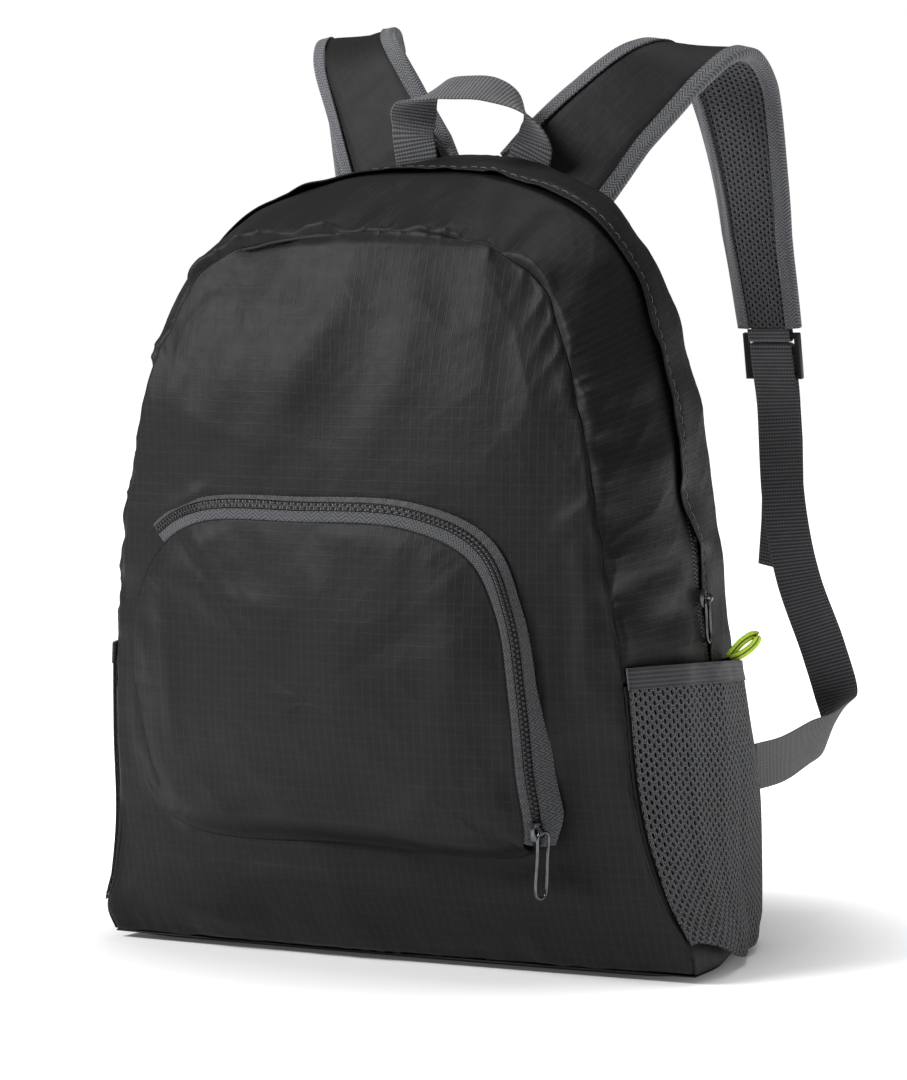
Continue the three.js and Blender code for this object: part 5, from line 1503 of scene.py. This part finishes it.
def make_sliders():
    copied("pocket_slider_casting", "pocket_zip_slider", 0.35, GUNMETAL, "gun_metal")
    copied("main_slider_casting", "main_zip_slider", 0.35, GUNMETAL, "gun_metal")
    share = 1 - SLIDER_LENGTH / (POCKET_HEIGHT + HALF_WIDTH)
    at = lambda value: [part[0] for part in zip_line(np.array([value]))]
    edge, coil, stitch = at(share)
    along = unit(at(share + 1e-3)[1] - at(share - 1e-3)[1])
    make_pull("pocket_zip", *slider_frame(coil, along, stitch - edge), POCKET_PULL_LENGTH, "pocket_pull")

    away = COIL_WIDTH / 2 + SEAM_GAP
    lift = -(CLOTH / 2 + SEAM_GAP + TAPE / 2) + TAPE / 2 + LAYER_GAP + COIL_HEIGHT / 2

    def on_coil(place, aside=away):
        value = arch_share(np.array([place]))
        return arch(value, zip_across(value, aside), lift)[0]

    along = unit(on_coil(MAIN_SLIDER_PLACE + 1e-3) - on_coil(MAIN_SLIDER_PLACE - 1e-3))
    across = on_coil(MAIN_SLIDER_PLACE, away + 1) - on_coil(MAIN_SLIDER_PLACE)
    station = slider_frame(on_coil(MAIN_SLIDER_PLACE), along, across)
    make_pull("main_zip", *station, MAIN_PULL_LENGTH, "main_pull")


def make_tag():
    out = unit(np.array([0.5, 0.45, 0.5]))
    across = unit(np.array([-0.45, 0.89, 0]) - 0.18 * out)
    foot = side_pocket_point(1, np.array([TAG_PLACE]), np.array([float(SIDE_POCKET_HEIGHT)]))[0] + TAG_SHIFT
    apart = unit(np.cross(across, out))

    def row(reach, gape):
        return foot + out * reach * TAG_LENGTH * TAG_REACH_SHARE + apart * gape * TAG_GAPE * TAG_GAPE_SHARE

    places = [row(a, b) for a, b in TAG_ROWS] + [row(1, 0)] + [row(a, -b) for a, b in TAG_ROWS[::-1]]
    across = unit(across * math.cos(TAG_TWIST) + apart * math.sin(TAG_TWIST))
    run = run_through(places, np.tile(across, (len(places), 1)), 70).placed()
    tube("tag_ribbon", run, band_section(TAG_WIDTH / 2, TAG_THICKNESS * TAG_RIBBON_SHARE), LIME,
         ["loop_tag"], "lime_ribbon", around=18)


# Floor, light and camera

def make_studio():
    bm = bmesh.new()
    bmesh.ops.create_grid(bm, x_segments=1, y_segments=1, size=6)
    floor = link("studio_floor", bm)
    material, tree, shader = new_material("studio_floor_paint_and_glow")
    set_all(shader, Base_Color=colour("#f4f4f4"), Roughness=0.9, Specular_IOR_Level=0.1,
            Emission_Color=(1, 1, 1, 1))
    # The floor glows: painted light that is faint next to the bag and full white from about 0.36 m out, so the
    # floor is darker round the bag than further away.
    place = node(tree, "TexCoord").outputs["Object"]
    away = node(tree, "VectorMath", {0: place}, operation="LENGTH").outputs["Value"]
    glow = node(tree, "MapRange", {0: away, 1: 0.14, 2: 0.36, 3: FLOOR_GLOW, 4: 1.0},
                interpolation_type="SMOOTHSTEP")
    tree.links.new(glow.outputs[0], shader.inputs["Emission Strength"])
    floor.data.materials.append(material)

    world = bpy.data.worlds.new("studio")
    bpy.context.scene.world = world
    world.use_nodes = True
    tree = world.node_tree
    seen = tree.nodes["Background"]
    seen.inputs[0].default_value, seen.inputs[1].default_value = (1, 1, 1, 1), 1.0
    fill = node(tree, "Background", {0: (1, 1, 1, 1), 1: FILL})
    ray = node(tree, "LightPath").outputs["Is Camera Ray"]
    both = node(tree, "MixShader", {0: ray, 1: fill.outputs[0], 2: seen.outputs[0]})
    tree.links.new(both.outputs[0], tree.nodes["World Output"].inputs[0])

    for name, place, size, power in LAMPS:
        lamp = bpy.data.lights.new(name, "AREA")
        lamp.shape, lamp.size, lamp.energy = "DISK", size, power
        holder = bpy.data.objects.new(name, lamp)
        holder.location = place
        holder.rotation_euler = (Vector((0, 0, 0.2)) - Vector(place)).to_track_quat("-Z", "Y").to_euler()
        bpy.context.scene.collection.objects.link(holder)

    camera = bpy.data.cameras.new("photo_camera")
    camera.lens, camera.sensor_width = CAMERA_LENS, 36
    holder = bpy.data.objects.new("photo_camera", camera)
    azimuth, elevation = math.radians(CAMERA_AZIMUTH), math.radians(CAMERA_ELEVATION)
    level = math.cos(elevation)
    away = Vector((math.sin(azimuth) * level, -math.cos(azimuth) * level, math.sin(elevation)))
    holder.location = Vector(CAMERA_TARGET) * MM + away * CAMERA_DISTANCE * MM
    holder.rotation_euler = (math.pi / 2 - elevation, 0, azimuth)
    bpy.context.scene.collection.objects.link(holder)
    bpy.context.scene.camera = holder
    bpy.context.scene.view_settings.view_transform = "Standard"


make_studio()
make_panels()
make_gussets()
make_seams()
make_main_zip()
make_pocket()
make_side_pockets()
make_handle()
make_straps()
make_sliders()
make_tag()
